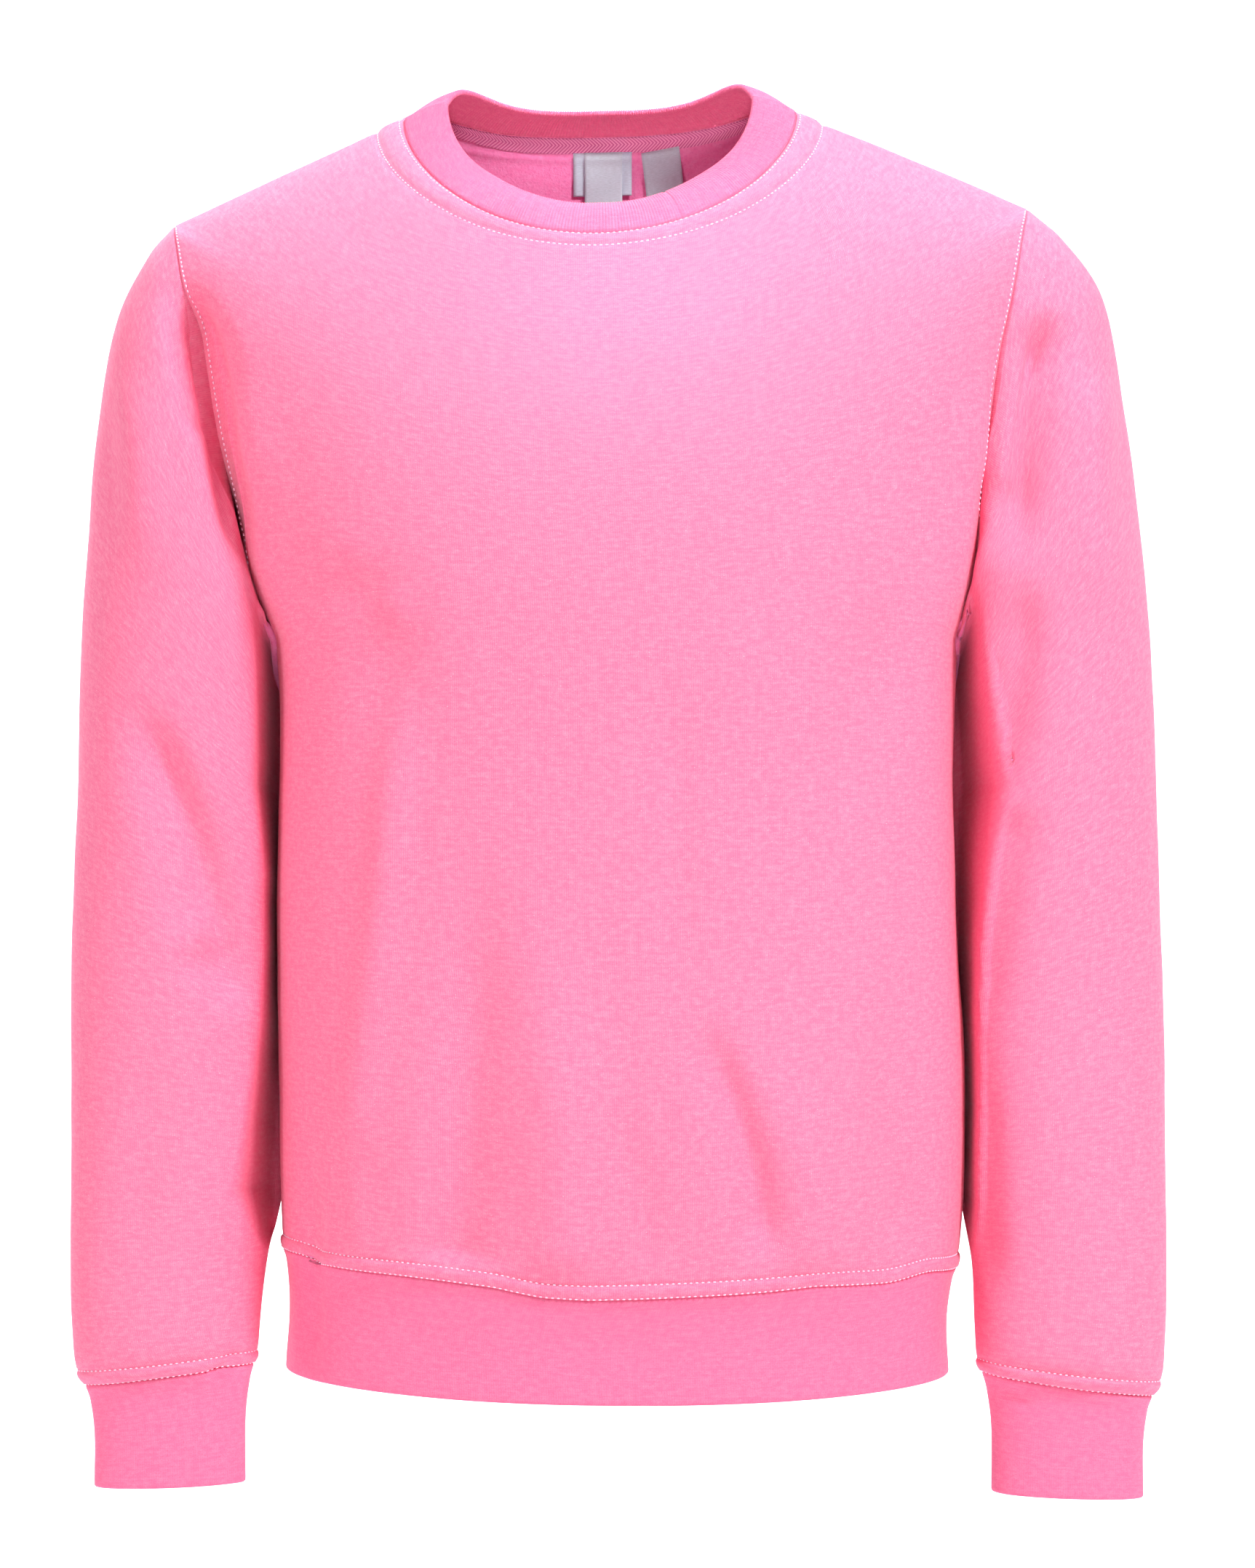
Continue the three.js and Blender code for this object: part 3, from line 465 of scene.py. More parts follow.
def edgeShares(count, half):  # columns close up towards the seams
    near = 1 - np.array([0, 0.5, 1.0, 1.6, 2.4, 3.3, 4.4, 5.8, 7.6]) / half
    inner = np.linspace(-near[-1], near[-1], count)[1:-1]
    return np.concatenate([-near, inner, near[::-1]])


frontGrid = panelGrid(levels, edgeShares(160, 260), frontCentre, frontArmhole)
backGrid = panelGrid(levels, edgeShares(128, 250), backCentre, backArmhole)
print("panels laid out", frontGrid.shape, backGrid.shape)

sleeveAlongs = np.concatenate([fineSteps[:12], np.linspace(10, 648, 200), 662 - fineSteps[:13][::-1]])
cuffAlongs = np.concatenate([[0, 0.6, 1.4, 2.6, 4, 6], np.linspace(8, 56, 20)])


def armTubes(side):
    edge = -1 if side > 0 else 0
    down = frontGrid[armpitRow:shoulderRow + 1, edge][::-1]
    up = backGrid[armpitRow + 1:shoulderRow, edge]
    loop = np.concatenate([down, up])
    steps = np.linalg.norm(np.roll(loop, -1, axis=0) - loop, axis=1)
    reached = np.concatenate([[0], np.cumsum(steps)])
    half = reached[len(down) - 1]
    shares = reached[:-1]
    shares = np.where(shares <= half, 0.5 * shares / half, 0.5 + 0.5 * (shares - half) / (reached[-1] - half))
    sleeve = tubeGrid(loop, sleeveCut, sleeveAlongs, shares, side)
    cuff = tubeGrid(sleeve[-1], cuffCut, cuffAlongs, shares, side)
    tuckBeside(sleeve, "left" if side > 0 else "right")
    return sleeve, cuff


sleeveLeft, cuffLeft = armTubes(1)
sleeveRight, cuffRight = armTubes(-1)


def roundTrip(frontRow, backRow):
    return np.concatenate([frontRow, backRow[1:-1][::-1]])


def bandGrid(seam):
    drops = np.concatenate([[0, 0.6, 1.4, 2.6, 4, 6], np.linspace(8, 57, 22)])
    lowest = seam[:, 2].min()
    inward = unit(seam * np.array([-1, -1, 0]))
    grid = np.empty((len(drops), len(seam), 3))
    for r, drop in enumerate(drops):
        inset = readCurve(bandCut, "drop", drop, "inset")
        even = bandCut["evenness"] * drop / 57
        grid[r] = seam + inward * inset
        grid[r, :, 2] = seam[:, 2] - drop - even * (seam[:, 2] - lowest)
    return grid


def collarGrid(seam, rows):
    middle = seam.mean(axis=0)
    facing = unit((seam - middle)[:, :2])
    turn = np.degrees(np.arccos(np.clip(-facing[:, 1], -1, 1)))
    inward = readCurve(collarCut, "turn", turn, "inward")
    up = readCurve(collarCut, "turn", turn, "up")
    grid = np.empty((len(rows), len(seam), 3))
    for r, share in enumerate(rows):
        arch = share + collarCut["crown"] * math.sin(math.pi * share)
        grid[r] = seam
        grid[r, :, :2] -= facing * (share * inward)[:, None]
        grid[r, :, 2] += arch * up
    return grid


collarRing = roundTrip(frontGrid[-1], backGrid[-1])
pieces = {
    "frontCloth": {"grid": frontGrid, "closed": False, "flip": False},
    "backCloth": {"grid": backGrid[:, ::-1], "closed": False, "flip": False},
    "sleeveLeftCloth": {"grid": sleeveLeft, "closed": True, "flip": False},
    "sleeveRightCloth": {"grid": sleeveRight, "closed": True, "flip": True},
    "cuffLeftRib": {"grid": cuffLeft, "closed": True, "flip": False},
    "cuffRightRib": {"grid": cuffRight, "closed": True, "flip": True},
    "hemBandRib": {"grid": bandGrid(roundTrip(frontGrid[0], backGrid[0])), "closed": True, "flip": True},
    "collarRib": {"grid": collarGrid(collarRing, np.linspace(0, 1, 15)), "closed": True, "flip": False},
}
for piece in pieces.values():
    piece["grid"] = stance(piece["grid"])


def waveHem(name, fromSeam, fade):
    grid = pieces[name]["grid"]
    rise = sum(np.interp(grid[..., 0] + step, hemWave["x"], hemWave["rise"]) for step in (-4, 0, 4)) / 3
    rise = rise * smooth(25, -20, grid[..., 1])
    grid[..., 2] += rise * smooth(fade, 0, fromSeam)[:, None]


waveHem("frontCloth", levels, hemWave["upward"])
waveHem("backCloth", levels, hemWave["upward"])
waveHem("hemBandRib", gridArc(pieces["hemBandRib"]["grid"], 0).mean(axis=1), hemWave["downward"])


def setNormals():
    for piece in pieces.values():
        piece["normals"] = normalsOf(piece["grid"], piece["closed"], piece["flip"])
    shareNormals(pieces.values())


def bump(distance, width):
    return np.exp(-((distance / width) ** 2))


def puff(distance, width):  # the rounded ridge over a seam allowance, between its two stitch rows
    t = np.clip(distance / width, 0, 1)
    return np.sqrt(np.clip(4 * t * (1 - t), 0, 1)) * np.clip(4 * t * (1 - t), 0, 1) ** 0.25


def seamRelief(name, grid):
    relief = np.zeros(grid.shape[:-1])
    rows = np.arange(grid.shape[0])[:, None]
    if name in ("frontCloth", "backCloth"):
        level = np.broadcast_to(levels[:, None], relief.shape)
        fromNeck = marks["neck"] - level
        for distance, width in ((level, seamLook["hemRidge"]), (fromNeck, seamLook["neckRidge"])):
            relief += seamLook["ridge"] * puff(distance, width)
            relief -= seamLook["groove"] * bump(distance, seamLook["grooveWidth"])
            relief -= seamLook["stitchDent"] * bump(distance - width, seamLook["dentWidth"])
        across = gridArc(grid, 1)
        edge = np.minimum(across, across[:, -1:] - across)
        relief -= seamLook["groove"] * bump(edge, seamLook["grooveWidth"])
        armhole = (rows > armpitRow) & (rows < shoulderRow)
        relief -= np.where(armhole, 0.35 * bump(edge - 3.0, 0.8), 0)
        relief += np.where(armhole, 0.3 * bump(edge - 1.5, 1.0), 0)
    if "sleeve" in name:
        down = np.broadcast_to(sleeveAlongs[:, None], relief.shape)
        fromCuff = sleeveAlongs[-1] - down
        relief -= seamLook["groove"] * bump(down, seamLook["grooveWidth"])
        relief += seamLook["ridge"] * puff(fromCuff, seamLook["cuffRidge"])
        relief -= seamLook["groove"] * bump(fromCuff, seamLook["grooveWidth"])
        relief -= seamLook["stitchDent"] * bump(fromCuff - seamLook["cuffRidge"], seamLook["dentWidth"])
    if name in ("cuffLeftRib", "cuffRightRib", "hemBandRib", "collarRib"):
        away = gridArc(grid, 0)
        relief -= seamLook["groove"] * bump(away, seamLook["grooveWidth"])
    return relief


setNormals()
for name, piece in pieces.items():
    grid, normals = piece["grid"], piece["normals"]
    depth = foldDepth(grid, normals, frontFolds + frontCreases, True)
    depth += foldDepth(grid, normals, backFolds + backCreases, False)
    if "Cloth" in name:
        depth += swayDepth(grid)
    elif name == "hemBandRib":
        depth += swayDepth(grid)
    piece["grid"] = grid + normals * (depth + seamRelief(name, grid))[..., None]
setNormals()
print("folds and seams shaped")


# materials
fleeceLook = {
    "colour": (0.95, 0.195, 0.34), "lighter": (1.0, 0.33, 0.47), "darker": (0.80, 0.105, 0.24),
    "streak": (90, 640), "wale": 0.0012, "waleGrooveShade": 0.24, "grain": (1700, 1100), "fleck": 0.35,
    "rough": 0.95, "sheen": 0.2, "bump": 0.4, "fuzz": 0.3,
}
ribLook = {
    "colour": (0.93, 0.165, 0.325), "lighter": (1.0, 0.26, 0.42), "darker": (0.76, 0.09, 0.22),
    "streak": (80, 900), "wale": 0.0013, "waleGrooveShade": 0.12, "grain": (1300, 1300), "fleck": 0.12,
    "rough": 0.93, "sheen": 0.16, "bump": 0.3, "fuzz": 0.25,
}
# the brushed inner face: partly its own pinker colour, partly painted light, made lighter because little light reaches
# inside the neck
brushedLitLook = {
    "colour": (0.97, 0.24, 0.52), "lighter": (1.0, 0.34, 0.63), "darker": (0.82, 0.16, 0.42),
    "streak": (260, 300), "wale": 0.004, "waleGrooveShade": 0.0, "grain": (700, 700), "fleck": 0.1,
    "rough": 1.0, "sheen": 0.4, "bump": 0.6, "fuzz": 0.9,
}
labelLooks = {
    "wovenLabel": {"colour": (0.60, 0.71, 0.81), "rough": 0.7, "thread": 0.0004, "sheen": 0.2},
    "satinLabel": {"colour": (0.57, 0.66, 0.73), "rough": 0.42, "thread": 0.0003, "sheen": 0.1},
    "careLabel": {"colour": (0.55, 0.63, 0.70), "rough": 0.5, "thread": 0.0003, "sheen": 0.1},
}
tapeLook = {"colour": (1.0, 0.42, 0.66), "darker": (0.66, 0.10, 0.30), "rib": 0.0021, "middle": 0.0051}
threadLook = {"colour": (1.0, 0.62, 0.80), "rough": 0.6}


def startMaterial(name, colour, rough, sheen):
    material = bpy.data.materials.new(name)
    material.use_nodes = True
    shader = material.node_tree.nodes["Principled BSDF"]
    shader.inputs["Base Color"].default_value = (*colour, 1)
    shader.inputs["Roughness"].default_value = rough
    shader.inputs["Specular IOR Level"].default_value = 0.25
    shader.inputs["Sheen Weight"].default_value = sheen
    shader.inputs["Sheen Roughness"].default_value = 0.45
    shader.inputs["Sheen Tint"].default_value = (1.0, 0.75, 0.86, 1)
    return material, material.node_tree, shader


def addNode(tree, kind, settings=None, values=None):
    node = tree.nodes.new("ShaderNode" + kind)
    for key, value in (settings or {}).items():
        setattr(node, key, value)
    for key, value in (values or {}).items():
        node.inputs[key].default_value = value
    return node


def scaledCloth(tree, scale):  # the cloth's own map, in metres, stretched for a pattern
    uv = addNode(tree, "UVMap", {"uv_map": "cloth"})
    mapping = addNode(tree, "Mapping", None, {"Scale": (scale[0], scale[1], 1)})
    tree.links.new(uv.outputs["UV"], mapping.inputs["Vector"])
    return mapping.outputs["Vector"]


def noiseOn(tree, scale, detail=2.0):
    tex = addNode(tree, "TexNoise", None, {"Scale": 1.0, "Detail": detail, "Roughness": 0.6})
    tree.links.new(scaledCloth(tree, scale), tex.inputs["Vector"])
    return tex.outputs["Fac"]


def ramp(tree, source, low, high, bottom=0.0, top=1.0):
    node = addNode(tree, "MapRange", None, {1: low, 2: high, 3: bottom, 4: top})
    tree.links.new(source, node.inputs[0])
    return node.outputs[0]


def mixColour(tree, amount, first, second):
    node = addNode(tree, "Mix", {"data_type": "RGBA"})
    tree.links.new(amount, node.inputs[0])
    for index, value in ((6, first), (7, second)):
        if isinstance(value, tuple):
            node.inputs[index].default_value = (*value, 1)
        else:
            tree.links.new(value, node.inputs[index])
    return node.outputs[2]


def combine(tree, operation, first, second):
    node = addNode(tree, "Math", {"operation": operation})
    for index, value in ((0, first), (1, second)):
        if isinstance(value, (int, float)):
            node.inputs[index].default_value = value
        else:
            tree.links.new(value, node.inputs[index])
    return node.outputs[0]


def knitMaterial(name, look):
    material, tree, shader = startMaterial(name, look["colour"], look["rough"], look["sheen"])
    streaks = noiseOn(tree, look["streak"], 4)
    clouds = noiseOn(tree, (260, 340), 2)
    grain = noiseOn(tree, look["grain"], 2)
    wale = addNode(tree, "TexWave", {"wave_type": "BANDS", "bands_direction": "X"},
                   {"Scale": math.pi / 10 / look["wale"], "Distortion": 1.2, "Detail": 1.0, "Detail Scale": 0.01})
    uv = addNode(tree, "UVMap", {"uv_map": "cloth"})
    tree.links.new(uv.outputs["UV"], wale.inputs["Vector"])
    heather = combine(tree, "ADD", combine(tree, "MULTIPLY", streaks, 0.5), combine(tree, "MULTIPLY", clouds, 0.5))
    colour = mixColour(tree, ramp(tree, heather, 0.42, 0.66, 0.0, 0.75), look["colour"], look["lighter"])
    colour = mixColour(tree, ramp(tree, grain, 0.5, 0.74, 0.0, 0.6), colour, look["darker"])
    # painted shade: the colour darkens in the hollows between the wales, where the bump sinks too
    colour = mixColour(tree, ramp(tree, wale.outputs["Fac"], 0.55, 0.0, 0.0, look["waleGrooveShade"]), colour, look["darker"])
    flecks = noiseOn(tree, (900, 1500), 0)
    colour = mixColour(tree, ramp(tree, flecks, 0.76, 0.84, 0.0, look["fleck"]), colour, (1.0, 0.75, 0.85))
    tree.links.new(colour, shader.inputs["Base Color"])
    relief = combine(tree, "ADD", combine(tree, "MULTIPLY", wale.outputs["Fac"], 0.5 if look["waleGrooveShade"] else 0.0),
                     combine(tree, "MULTIPLY", grain, look["fuzz"] * 2))
    bumpNode = addNode(tree, "Bump", None, {"Strength": look["bump"], "Distance": 0.0003})
    tree.links.new(relief, bumpNode.inputs["Height"])
    tree.links.new(bumpNode.outputs["Normal"], shader.inputs["Normal"])
    return material


def labelMaterial(name, look):
    material, tree, shader = startMaterial(name, look["colour"], look["rough"], look["sheen"])
    shader.inputs["Sheen Tint"].default_value = (1, 1, 1, 1)
    weft = noiseOn(tree, (400, 2600), 1)
    darker = tuple(value * 0.86 for value in look["colour"])
    tree.links.new(mixColour(tree, ramp(tree, weft, 0.35, 0.65), darker, look["colour"]), shader.inputs["Base Color"])
    wave = addNode(tree, "TexWave", {"wave_type": "BANDS", "bands_direction": "Y"},
                   {"Scale": math.pi / 10 / look["thread"], "Distortion": 0.4})
    uv = addNode(tree, "UVMap", {"uv_map": "cloth"})
    tree.links.new(uv.outputs["UV"], wave.inputs["Vector"])
    bumpNode = addNode(tree, "Bump", None, {"Strength": 0.2, "Distance": 0.0001})
    tree.links.new(wave.outputs["Fac"], bumpNode.inputs["Height"])
    tree.links.new(bumpNode.outputs["Normal"], shader.inputs["Normal"])
    return material


def herringboneMaterial(name, look):
    material, tree, shader = startMaterial(name, look["colour"], 0.85, 0.3)
    uv = addNode(tree, "UVMap", {"uv_map": "cloth"})
    parts = addNode(tree, "SeparateXYZ")
    tree.links.new(uv.outputs["UV"], parts.inputs["Vector"])
    half = combine(tree, "ABSOLUTE", combine(tree, "SUBTRACT", parts.outputs["Y"], look["middle"]), 0.0)
    diagonal = combine(tree, "ADD", parts.outputs["X"], half)
    rib = combine(tree, "SINE", combine(tree, "MULTIPLY", diagonal, 2 * math.pi / look["rib"]), 0.0)
    shade = ramp(tree, rib, -1, 1)
    tree.links.new(mixColour(tree, shade, look["darker"], look["colour"]), shader.inputs["Base Color"])
    bumpNode = addNode(tree, "Bump", None, {"Strength": 0.6, "Distance": 0.0003})
    tree.links.new(shade, bumpNode.inputs["Height"])
    tree.links.new(bumpNode.outputs["Normal"], shader.inputs["Normal"])
    return material


fleece = knitMaterial("heatheredFleece", fleeceLook)
rib = knitMaterial("heatheredRib", ribLook)
brushedLit = knitMaterial("brushedInsideLit", brushedLitLook)
tape = herringboneMaterial("herringboneTape", tapeLook)
labelMaterials = {name: labelMaterial(name, look) for name, look in labelLooks.items()}
thread = startMaterial("sewingThread", threadLook["colour"], threadLook["rough"], 0.2)[0]
print("materials ready")


# meshes

def clothObject(name, grid, uv, materials, wallThickness=None):
    # grid and uv include the closing column of a tube; doubles are welded, the map keeps its cut
    rows, columns = grid.shape[:2]
    bm = bmesh.new()
    layer = bm.loops.layers.uv.new("cloth")
    bmesh.ops.create_grid(bm, x_segments=columns - 1, y_segments=rows - 1, size=1)
    bm.verts.index_update()
    for vert, place in zip(bm.verts, (grid * mm).reshape(-1, 3).tolist()):
        vert.co = place
    flatUv = uv.reshape(-1, 2).tolist()
    for face in bm.faces:
        face.smooth = True
        for loop in face.loops:
            loop[layer].uv = flatUv[loop.vert.index]
    bmesh.ops.remove_doubles(bm, verts=bm.verts, dist=1e-6)
    mesh = bpy.data.meshes.new(name)
    bm.to_mesh(mesh)
    bm.free()
    for material in materials:
        mesh.materials.append(material)
    made = bpy.data.objects.new(name, mesh)
    bpy.context.collection.objects.link(made)
    if wallThickness:
        solid = made.modifiers.new("wall", "SOLIDIFY")
        solid.thickness = wallThickness * mm
        solid.offset = -1
        solid.material_offset = len(materials) - 1
    return made


def clothMap(grid, middle):  # metres along the wales and across them, measured on the cloth
    across = gridArc(grid, 1)
    across = across - across[:, middle:middle + 1]
    down = gridArc(grid, 0).mean(axis=1, keepdims=True)
    return np.stack([across, np.broadcast_to(down, across.shape)], -1) * mm


def closeRing(grid, roll):  # a tube's grid with its first column again at the end
    turned = np.roll(grid, -roll, axis=1)
    return np.concatenate([turned, turned[:, :1]], axis=1)


def foldOver(grid, normals, thickness, rounds=5):  # doubled rib: out, round the folded edge and back inside
    outward = unit(grid[-1] - grid[-2])
    core = grid[-1] - normals[-1] * (thickness / 2)
    turns = [core + normals[-1] * math.cos(a) * thickness / 2 + outward * math.sin(a) * thickness / 2
             for a in np.linspace(0, math.pi, rounds + 2)[1:-1]]
    inside = (grid - normals * thickness)[::-1]
    return np.concatenate([grid, np.array(turns), inside, grid[:1]])


def dress(made, node):
    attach(made, "root")
    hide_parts(node)
    return made


for name, node, middle in (("frontCloth", "front_panel", None), ("backCloth", "back_panel", None)):
    grid = pieces[name]["grid"]
    uv = clothMap(grid, grid.shape[1] // 2)
    dress(clothObject(name, grid, uv, [fleece, brushedLit], cloth["fleece"]), node)
for name, node in (("sleeveLeftCloth", "sleeve_left"), ("sleeveRightCloth", "sleeve_right")):
    piece = pieces[name]
    count = piece["grid"].shape[1]
    grid = closeRing(piece["grid"], count // 2)
    grid = grid[:, ::-1] if piece["flip"] else grid
    uv = clothMap(grid, count // 2)
    dress(clothObject(name, grid, uv, [fleece, brushedLit], cloth["fleece"]), node)
for name, node in (("cuffLeftRib", "cuff_left"), ("cuffRightRib", "cuff_right"), ("hemBandRib", "hem_band")):
    piece = pieces[name]
    count = piece["grid"].shape[1]
    grid = foldOver(piece["grid"], piece["normals"], cloth["rib"])
    grid = closeRing(grid, count // 2 if "cuff" in name else 0)
    grid = grid[:, ::-1] if piece["flip"] else grid
    uv = clothMap(grid, count // 2)
    dress(clothObject(name, grid, uv, [rib]), node)
print("panels, sleeves, cuffs and band made")

# the collar's rib stands out as real ridges, one wale after another round the neck
collarRib = {"wales": 380, "perWale": 4, "height": 0.3, "joinTurn": 0.345, "joinDepth": 0.6, "joinWidth": 1.2}


def makeCollar():
    piece = pieces["collarRib"]
    folded = foldOver(piece["grid"], piece["normals"], cloth["rib"])
    ring = closeRing(folded, 0)
    turned = normalsOf(ring[:, :-1], True, False)
    turned = closeRing(turned, 0)
    reached = gridArc(ring, 1)[0]
    count = collarRib["wales"] * collarRib["perWale"]
    places = np.linspace(0, reached[-1], count + 1)
    fine = np.stack([[np.interp(places, reached, line) for line in ring[..., axis]] for axis in range(3)], -1)
    facing = unit(np.stack([[np.interp(places, reached, line) for line in turned[..., axis]] for axis in range(3)], -1))
    wave = np.cos(np.arange(count + 1) * 2 * math.pi / collarRib["perWale"])
    fade = np.ones(len(fine))
    fade[[0, -1]] = 0
    join = (places / reached[-1] - collarRib["joinTurn"]) * reached[-1]
    groove = collarRib["joinDepth"] * np.exp(-((join / collarRib["joinWidth"]) ** 2))
    fine += facing * (fade[:, None] * (collarRib["height"] * wave - groove)[None, :])[..., None]
    uv = clothMap(fine, count // 2)
    return clothObject("collarRib", fine, uv, [rib])


dress(makeCollar(), "collar")
print("collar made")


# tape and labels, on the inside of the back panel
backInside = pieces["backCloth"]["grid"] - pieces["backCloth"]["normals"] * cloth["fleece"]
backInsideNormals = pieces["backCloth"]["normals"]
tapeCut = {"top": 0.3, "width": 10.2, "rows": 8, "columns": 150, "end": 0.92, "lift": 0.35}
labelCuts = {
    "labelWide": {"node": "label_wide", "slot": "woven_label", "look": "wovenLabel",
                  "x": -8.5, "width": 34, "length": 25.5, "tilt": 0.0, "lift": 0.5, "curl": 1.0},
    "labelNarrow": {"node": "label_narrow", "slot": "satin_label", "look": "satinLabel",
                    "x": -8, "width": 22, "length": 34, "tilt": 0.0, "lift": 1.5, "curl": 1.6},
    "labelCare": {"node": "label_care", "slot": "care_label", "look": "careLabel",
                  "x": 25, "width": 22, "length": 44, "tilt": 0.12, "lift": 0.6, "curl": 2.2},
}


sideways = np.linspace(-116, 106, 112)


def acrossRows(values):  # the same rows again, at even steps from side to side, from the neck seam down
    lines = []
    for row in range(len(levels) - 1, shoulderRow - 40, -1):
        x = backInside[row][::-1, 0]
        lines.append([np.interp(sideways, x, values[row][::-1, axis]) for axis in range(3)])
    return np.array(lines).transpose(2, 0, 1)


insideLines, insideFacings = acrossRows(backInside), acrossRows(backInsideNormals)


def insidePlace(x, drop):  # a point on the inside of the back, x across and drop down the cloth
    at = min(max(np.interp(x, sideways, np.arange(len(sideways))), 0), len(sideways) - 1.001)
    low = int(at)
    places = blend(insideLines[low], insideLines[low + 1], at - low)
    facings = blend(insideFacings[low], insideFacings[low + 1], at - low)
    reached = np.concatenate([[0], np.cumsum(np.linalg.norm(np.diff(places, axis=0), axis=1))])
    place = np.array([np.interp(drop, reached, places[:, axis]) for axis in range(3)])
    facing = np.array([np.interp(drop, reached, facings[:, axis]) for axis in range(3)])
    return place, unit(facing)


def layStrip(name, rows, columns, placeAt, material, thickness):
    grid = np.empty((rows + 1, columns + 1, 3))
    for r in range(rows + 1):
        for i in range(columns + 1):
            grid[r, i] = placeAt(i / columns, r / rows)
    uv = clothMap(grid, columns // 2)
    return clothObject(name, grid, uv, [material], thickness)


topLine = backInside[-1]
tapeHalf = (topLine[0, 0] - topLine[-1, 0]) / 2
tapeMiddle = (topLine[0, 0] + topLine[-1, 0]) / 2


def tapePlace(u, v):  # from the wearer's right to left, and up, so that it faces into the neck
    x = tapeMiddle + tapeHalf * math.sin((u - 0.5) * math.pi * tapeCut["end"])
    place, facing = insidePlace(x, blend(tapeCut["top"] + tapeCut["width"], tapeCut["top"], v))
    swell = 0.35 * math.sqrt(max(0, 4 * v * (1 - v)))
    return place - facing * (tapeCut["lift"] + cloth["trim"] + swell)


dress(
    layStrip("neckTape", tapeCut["rows"], tapeCut["columns"], tapePlace, tape, cloth["trim"] + 0.3),
    "neck_tape")

for name, cut in labelCuts.items():
    def labelPlace(u, v, cut=cut):
        across = (u - 0.5) * cut["width"]
        down = (1 - v) * cut["length"]
        x = cut["x"] + across * math.cos(cut["tilt"]) + down * math.sin(cut["tilt"])
        drop = down * math.cos(cut["tilt"]) - across * math.sin(cut["tilt"])
        place, facing = insidePlace(x, tapeCut["top"] + tapeCut["width"] - 0.6 + drop)
        share = down / cut["length"]
        lift = cut["lift"] + cut["curl"] * share**2 * (0.6 + 0.4 * math.cos(2.2 * across / cut["width"] + cut["x"]))
        return place - facing * (lift + cloth["trim"])
    dress(
        layStrip(name, 22, 14, labelPlace, labelMaterials[cut["look"]], cloth["trim"]), cut["node"])
print("tape and labels laid")


# stitches
stitch = {"pitch": 3.2, "length": 2.0, "width": 1.05, "height": 0.9, "sink": 0.1, "around": 6, "rings": 4}


def rowLine(name, coordinate, value):
    piece = pieces[name]
    at = float(np.interp(value, coordinate, np.arange(len(coordinate))))
    low = min(int(at), len(coordinate) - 2)
    return (blend(piece["grid"][low], piece["grid"][low + 1], at - low),
            unit(blend(piece["normals"][low], piece["normals"][low + 1], at - low)))


def edgeLine(name, fromLeft, distance):
    piece = pieces[name]
    across = gridArc(piece["grid"], 1)
    places, facings = [], []
    for r in range(armpitRow + 3, shoulderRow):
        reached = across[r] if fromLeft else across[r, -1] - across[r]
        order = slice(None) if fromLeft else slice(None, None, -1)
        places.append([np.interp(distance, reached[order], piece["grid"][r][order, axis]) for axis in range(3)])
        facings.append([np.interp(distance, reached[order], piece["normals"][r][order, axis]) for axis in range(3)])
    return np.array(places), unit(np.array(facings))


def stitchPlaces(lines):
    for places, facings in lines:
        reached = np.concatenate([[0], np.cumsum(np.linalg.norm(np.diff(places, axis=0), axis=1))])
        for at in np.arange(stitch["pitch"], reached[-1] - 1, stitch["pitch"]):
            ends = [np.array([np.interp(at + step, reached, places[:, axis]) for axis in range(3)])
                    for step in (-0.8, 0, 0.8)]
            facing = np.array([np.interp(at, reached, facings[:, axis]) for axis in range(3)])
            forward = Vector(ends[2] - ends[0]).normalized()
            upward = Vector(facing)
            upward = (upward - upward.dot(forward) * forward).normalized()
            sideward = upward.cross(forward)
            centre = (Vector(ends[1]) + upward * stitch["sink"]) * mm
            turn = Matrix([forward, sideward, upward]).transposed().to_4x4()
            size = Matrix.Diagonal((stitch["length"] / 2 * mm, stitch["width"] / 2 * mm, stitch["height"] / 2 * mm, 1))
            yield Matrix.Translation(centre) @ turn @ size


def sewRows(name, lines):
    bm = bmesh.new()
    matrices = list(stitchPlaces(lines))
    for start in range(0, len(matrices), 40):  # in short runs, because a long one slows the operator down
        run = bmesh.new()
        for matrix in matrices[start:start + 40]:
            bmesh.ops.create_uvsphere(run, u_segments=stitch["around"], v_segments=stitch["rings"], radius=1,
                                      matrix=matrix)
        few = bpy.data.meshes.new("fewStitches")
        run.to_mesh(few)
        run.free()
        bm.from_mesh(few)
        bpy.data.meshes.remove(few)
    for face in bm.faces:
        face.smooth = True
    mesh = bpy.data.meshes.new(name)
    bm.to_mesh(mesh)
    bm.free()
    mesh.materials.append(thread)
    sewn = bpy.data.objects.new(name, mesh)
    bpy.context.collection.objects.link(sewn)
    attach(sewn, "root")
    return sewn


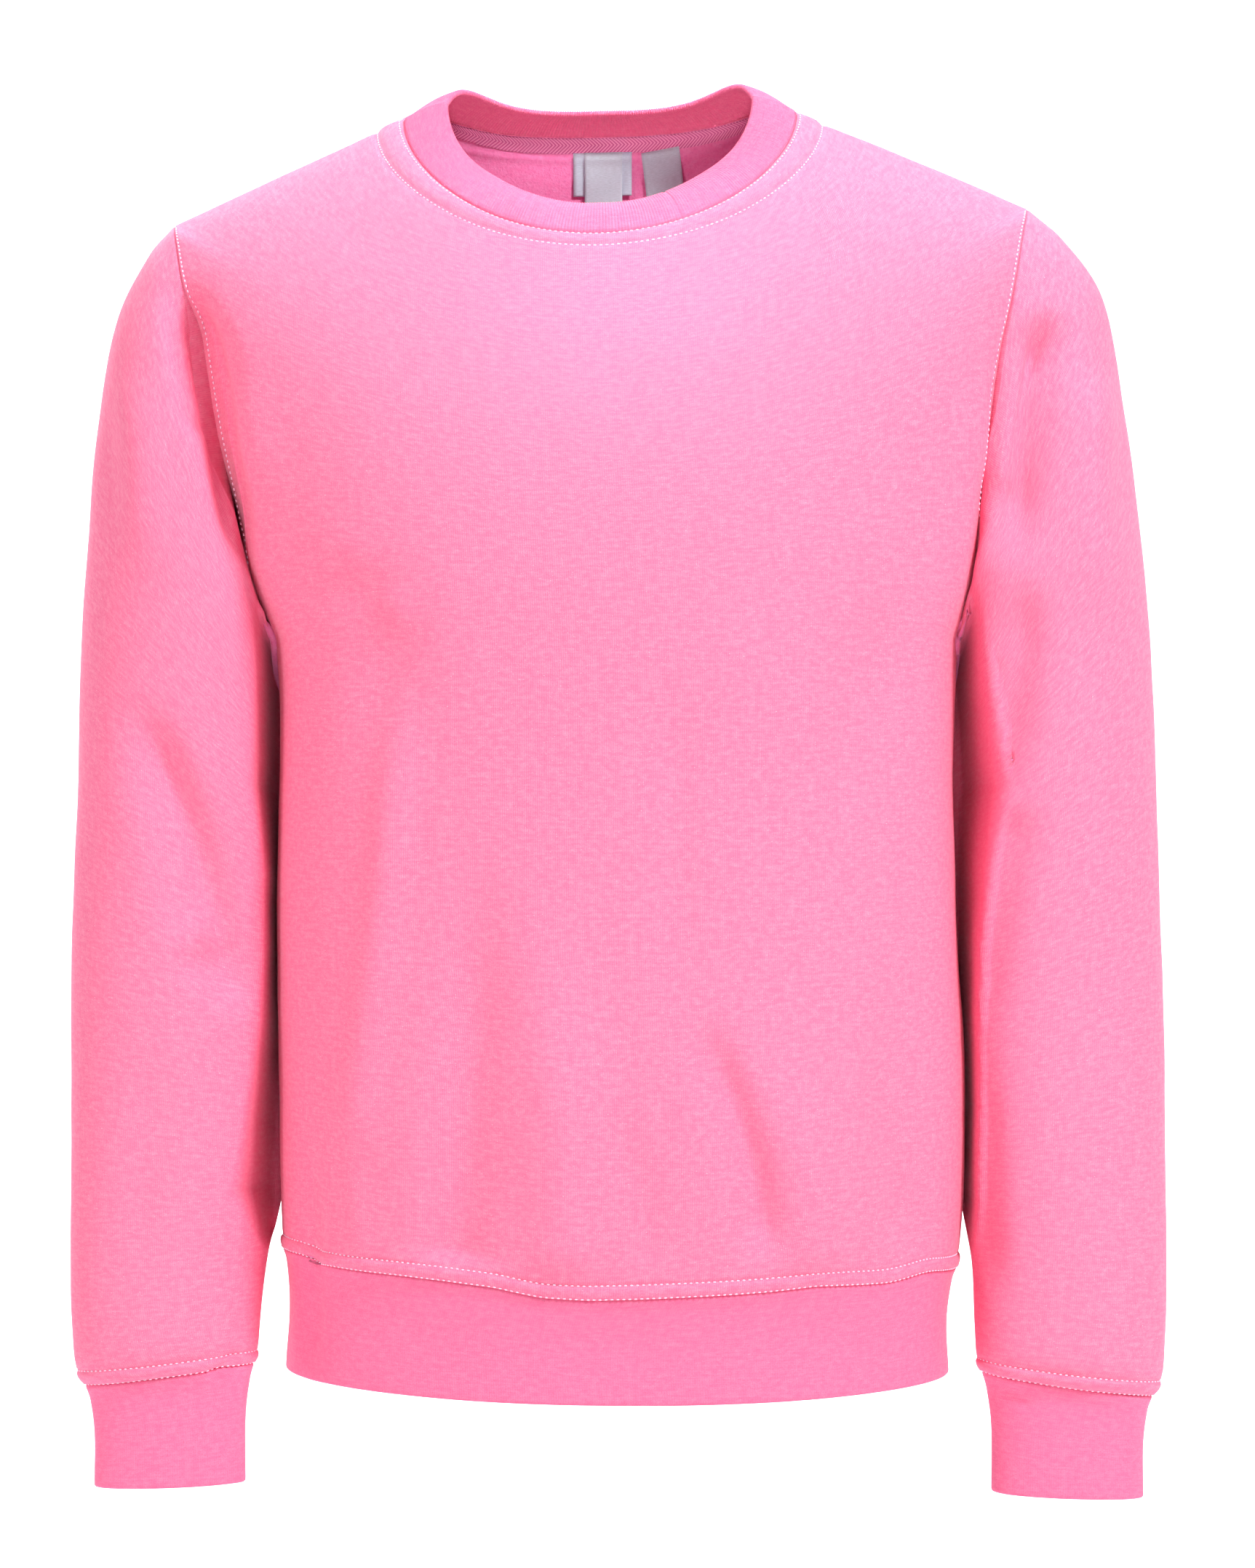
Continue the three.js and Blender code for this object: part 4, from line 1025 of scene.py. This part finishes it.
def closedLine(line):
    return np.concatenate([line[0], line[0][:1]]), np.concatenate([line[1], line[1][:1]])


hemRow, hemTop = 0.9, seamLook["hemRidge"]
neckRow, neckLow = marks["neck"] - 0.9, marks["neck"] - seamLook["neckRidge"]
sewRows(
    "hemStitches", [rowLine(n, levels, v) for n in ("frontCloth", "backCloth") for v in (hemRow, hemTop)])
sewRows(
    "neckStitches", [rowLine(n, levels, v) for n in ("frontCloth", "backCloth") for v in (neckRow, neckLow)])
sewRows(
    "armholeStitches",
    [edgeLine(n, side, 3.0) for n in ("frontCloth", "backCloth") for side in (True, False)])
sewRows(
    "cuffStitches",
    [closedLine(rowLine(n, sleeveAlongs, v)) for n in ("sleeveLeftCloth", "sleeveRightCloth")
     for v in (662 - 0.9, 662 - seamLook["cuffRidge"])])
print("stitches sewn")


# the cut of each piece
cuts = {
    "frontCloth": {"flat": (0.56, 0.66), "area": 0.32, "rests": ["back_panel", "collar"]},
    "backCloth": {"flat": (0.56, 0.68), "area": 0.30, "rests": ["front_panel", "collar"]},
    "sleeveLeftCloth": {"flat": (0.46, 0.66), "area": 0.2, "rests": ["front_panel", "back_panel"]},
    "sleeveRightCloth": {"flat": (0.46, 0.66), "area": 0.2, "rests": ["front_panel", "back_panel"]},
    "cuffLeftRib": {"flat": (0.21, 0.062), "area": None, "rests": ["sleeve_left"]},
    "cuffRightRib": {"flat": (0.21, 0.062), "area": None, "rests": ["sleeve_right"]},
    "hemBandRib": {"flat": (1.02, 0.06), "area": None, "rests": ["front_panel", "back_panel"]},
    "collarRib": {"flat": (0.56, 0.028), "area": None, "rests": ["front_panel", "back_panel"]},
    "neckTape": {"flat": (0.26, 0.0105), "area": None, "rests": ["back_panel"]},
    "labelWide": {"flat": (0.034, 0.0255), "area": None, "rests": ["neck_tape"]},
    "labelNarrow": {"flat": (0.022, 0.034), "area": None, "rests": ["neck_tape"]},
    "labelCare": {"flat": (0.022, 0.044), "area": None, "rests": ["neck_tape"]},
}
for name, cut in cuts.items():
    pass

bpy.context.view_layer.update()
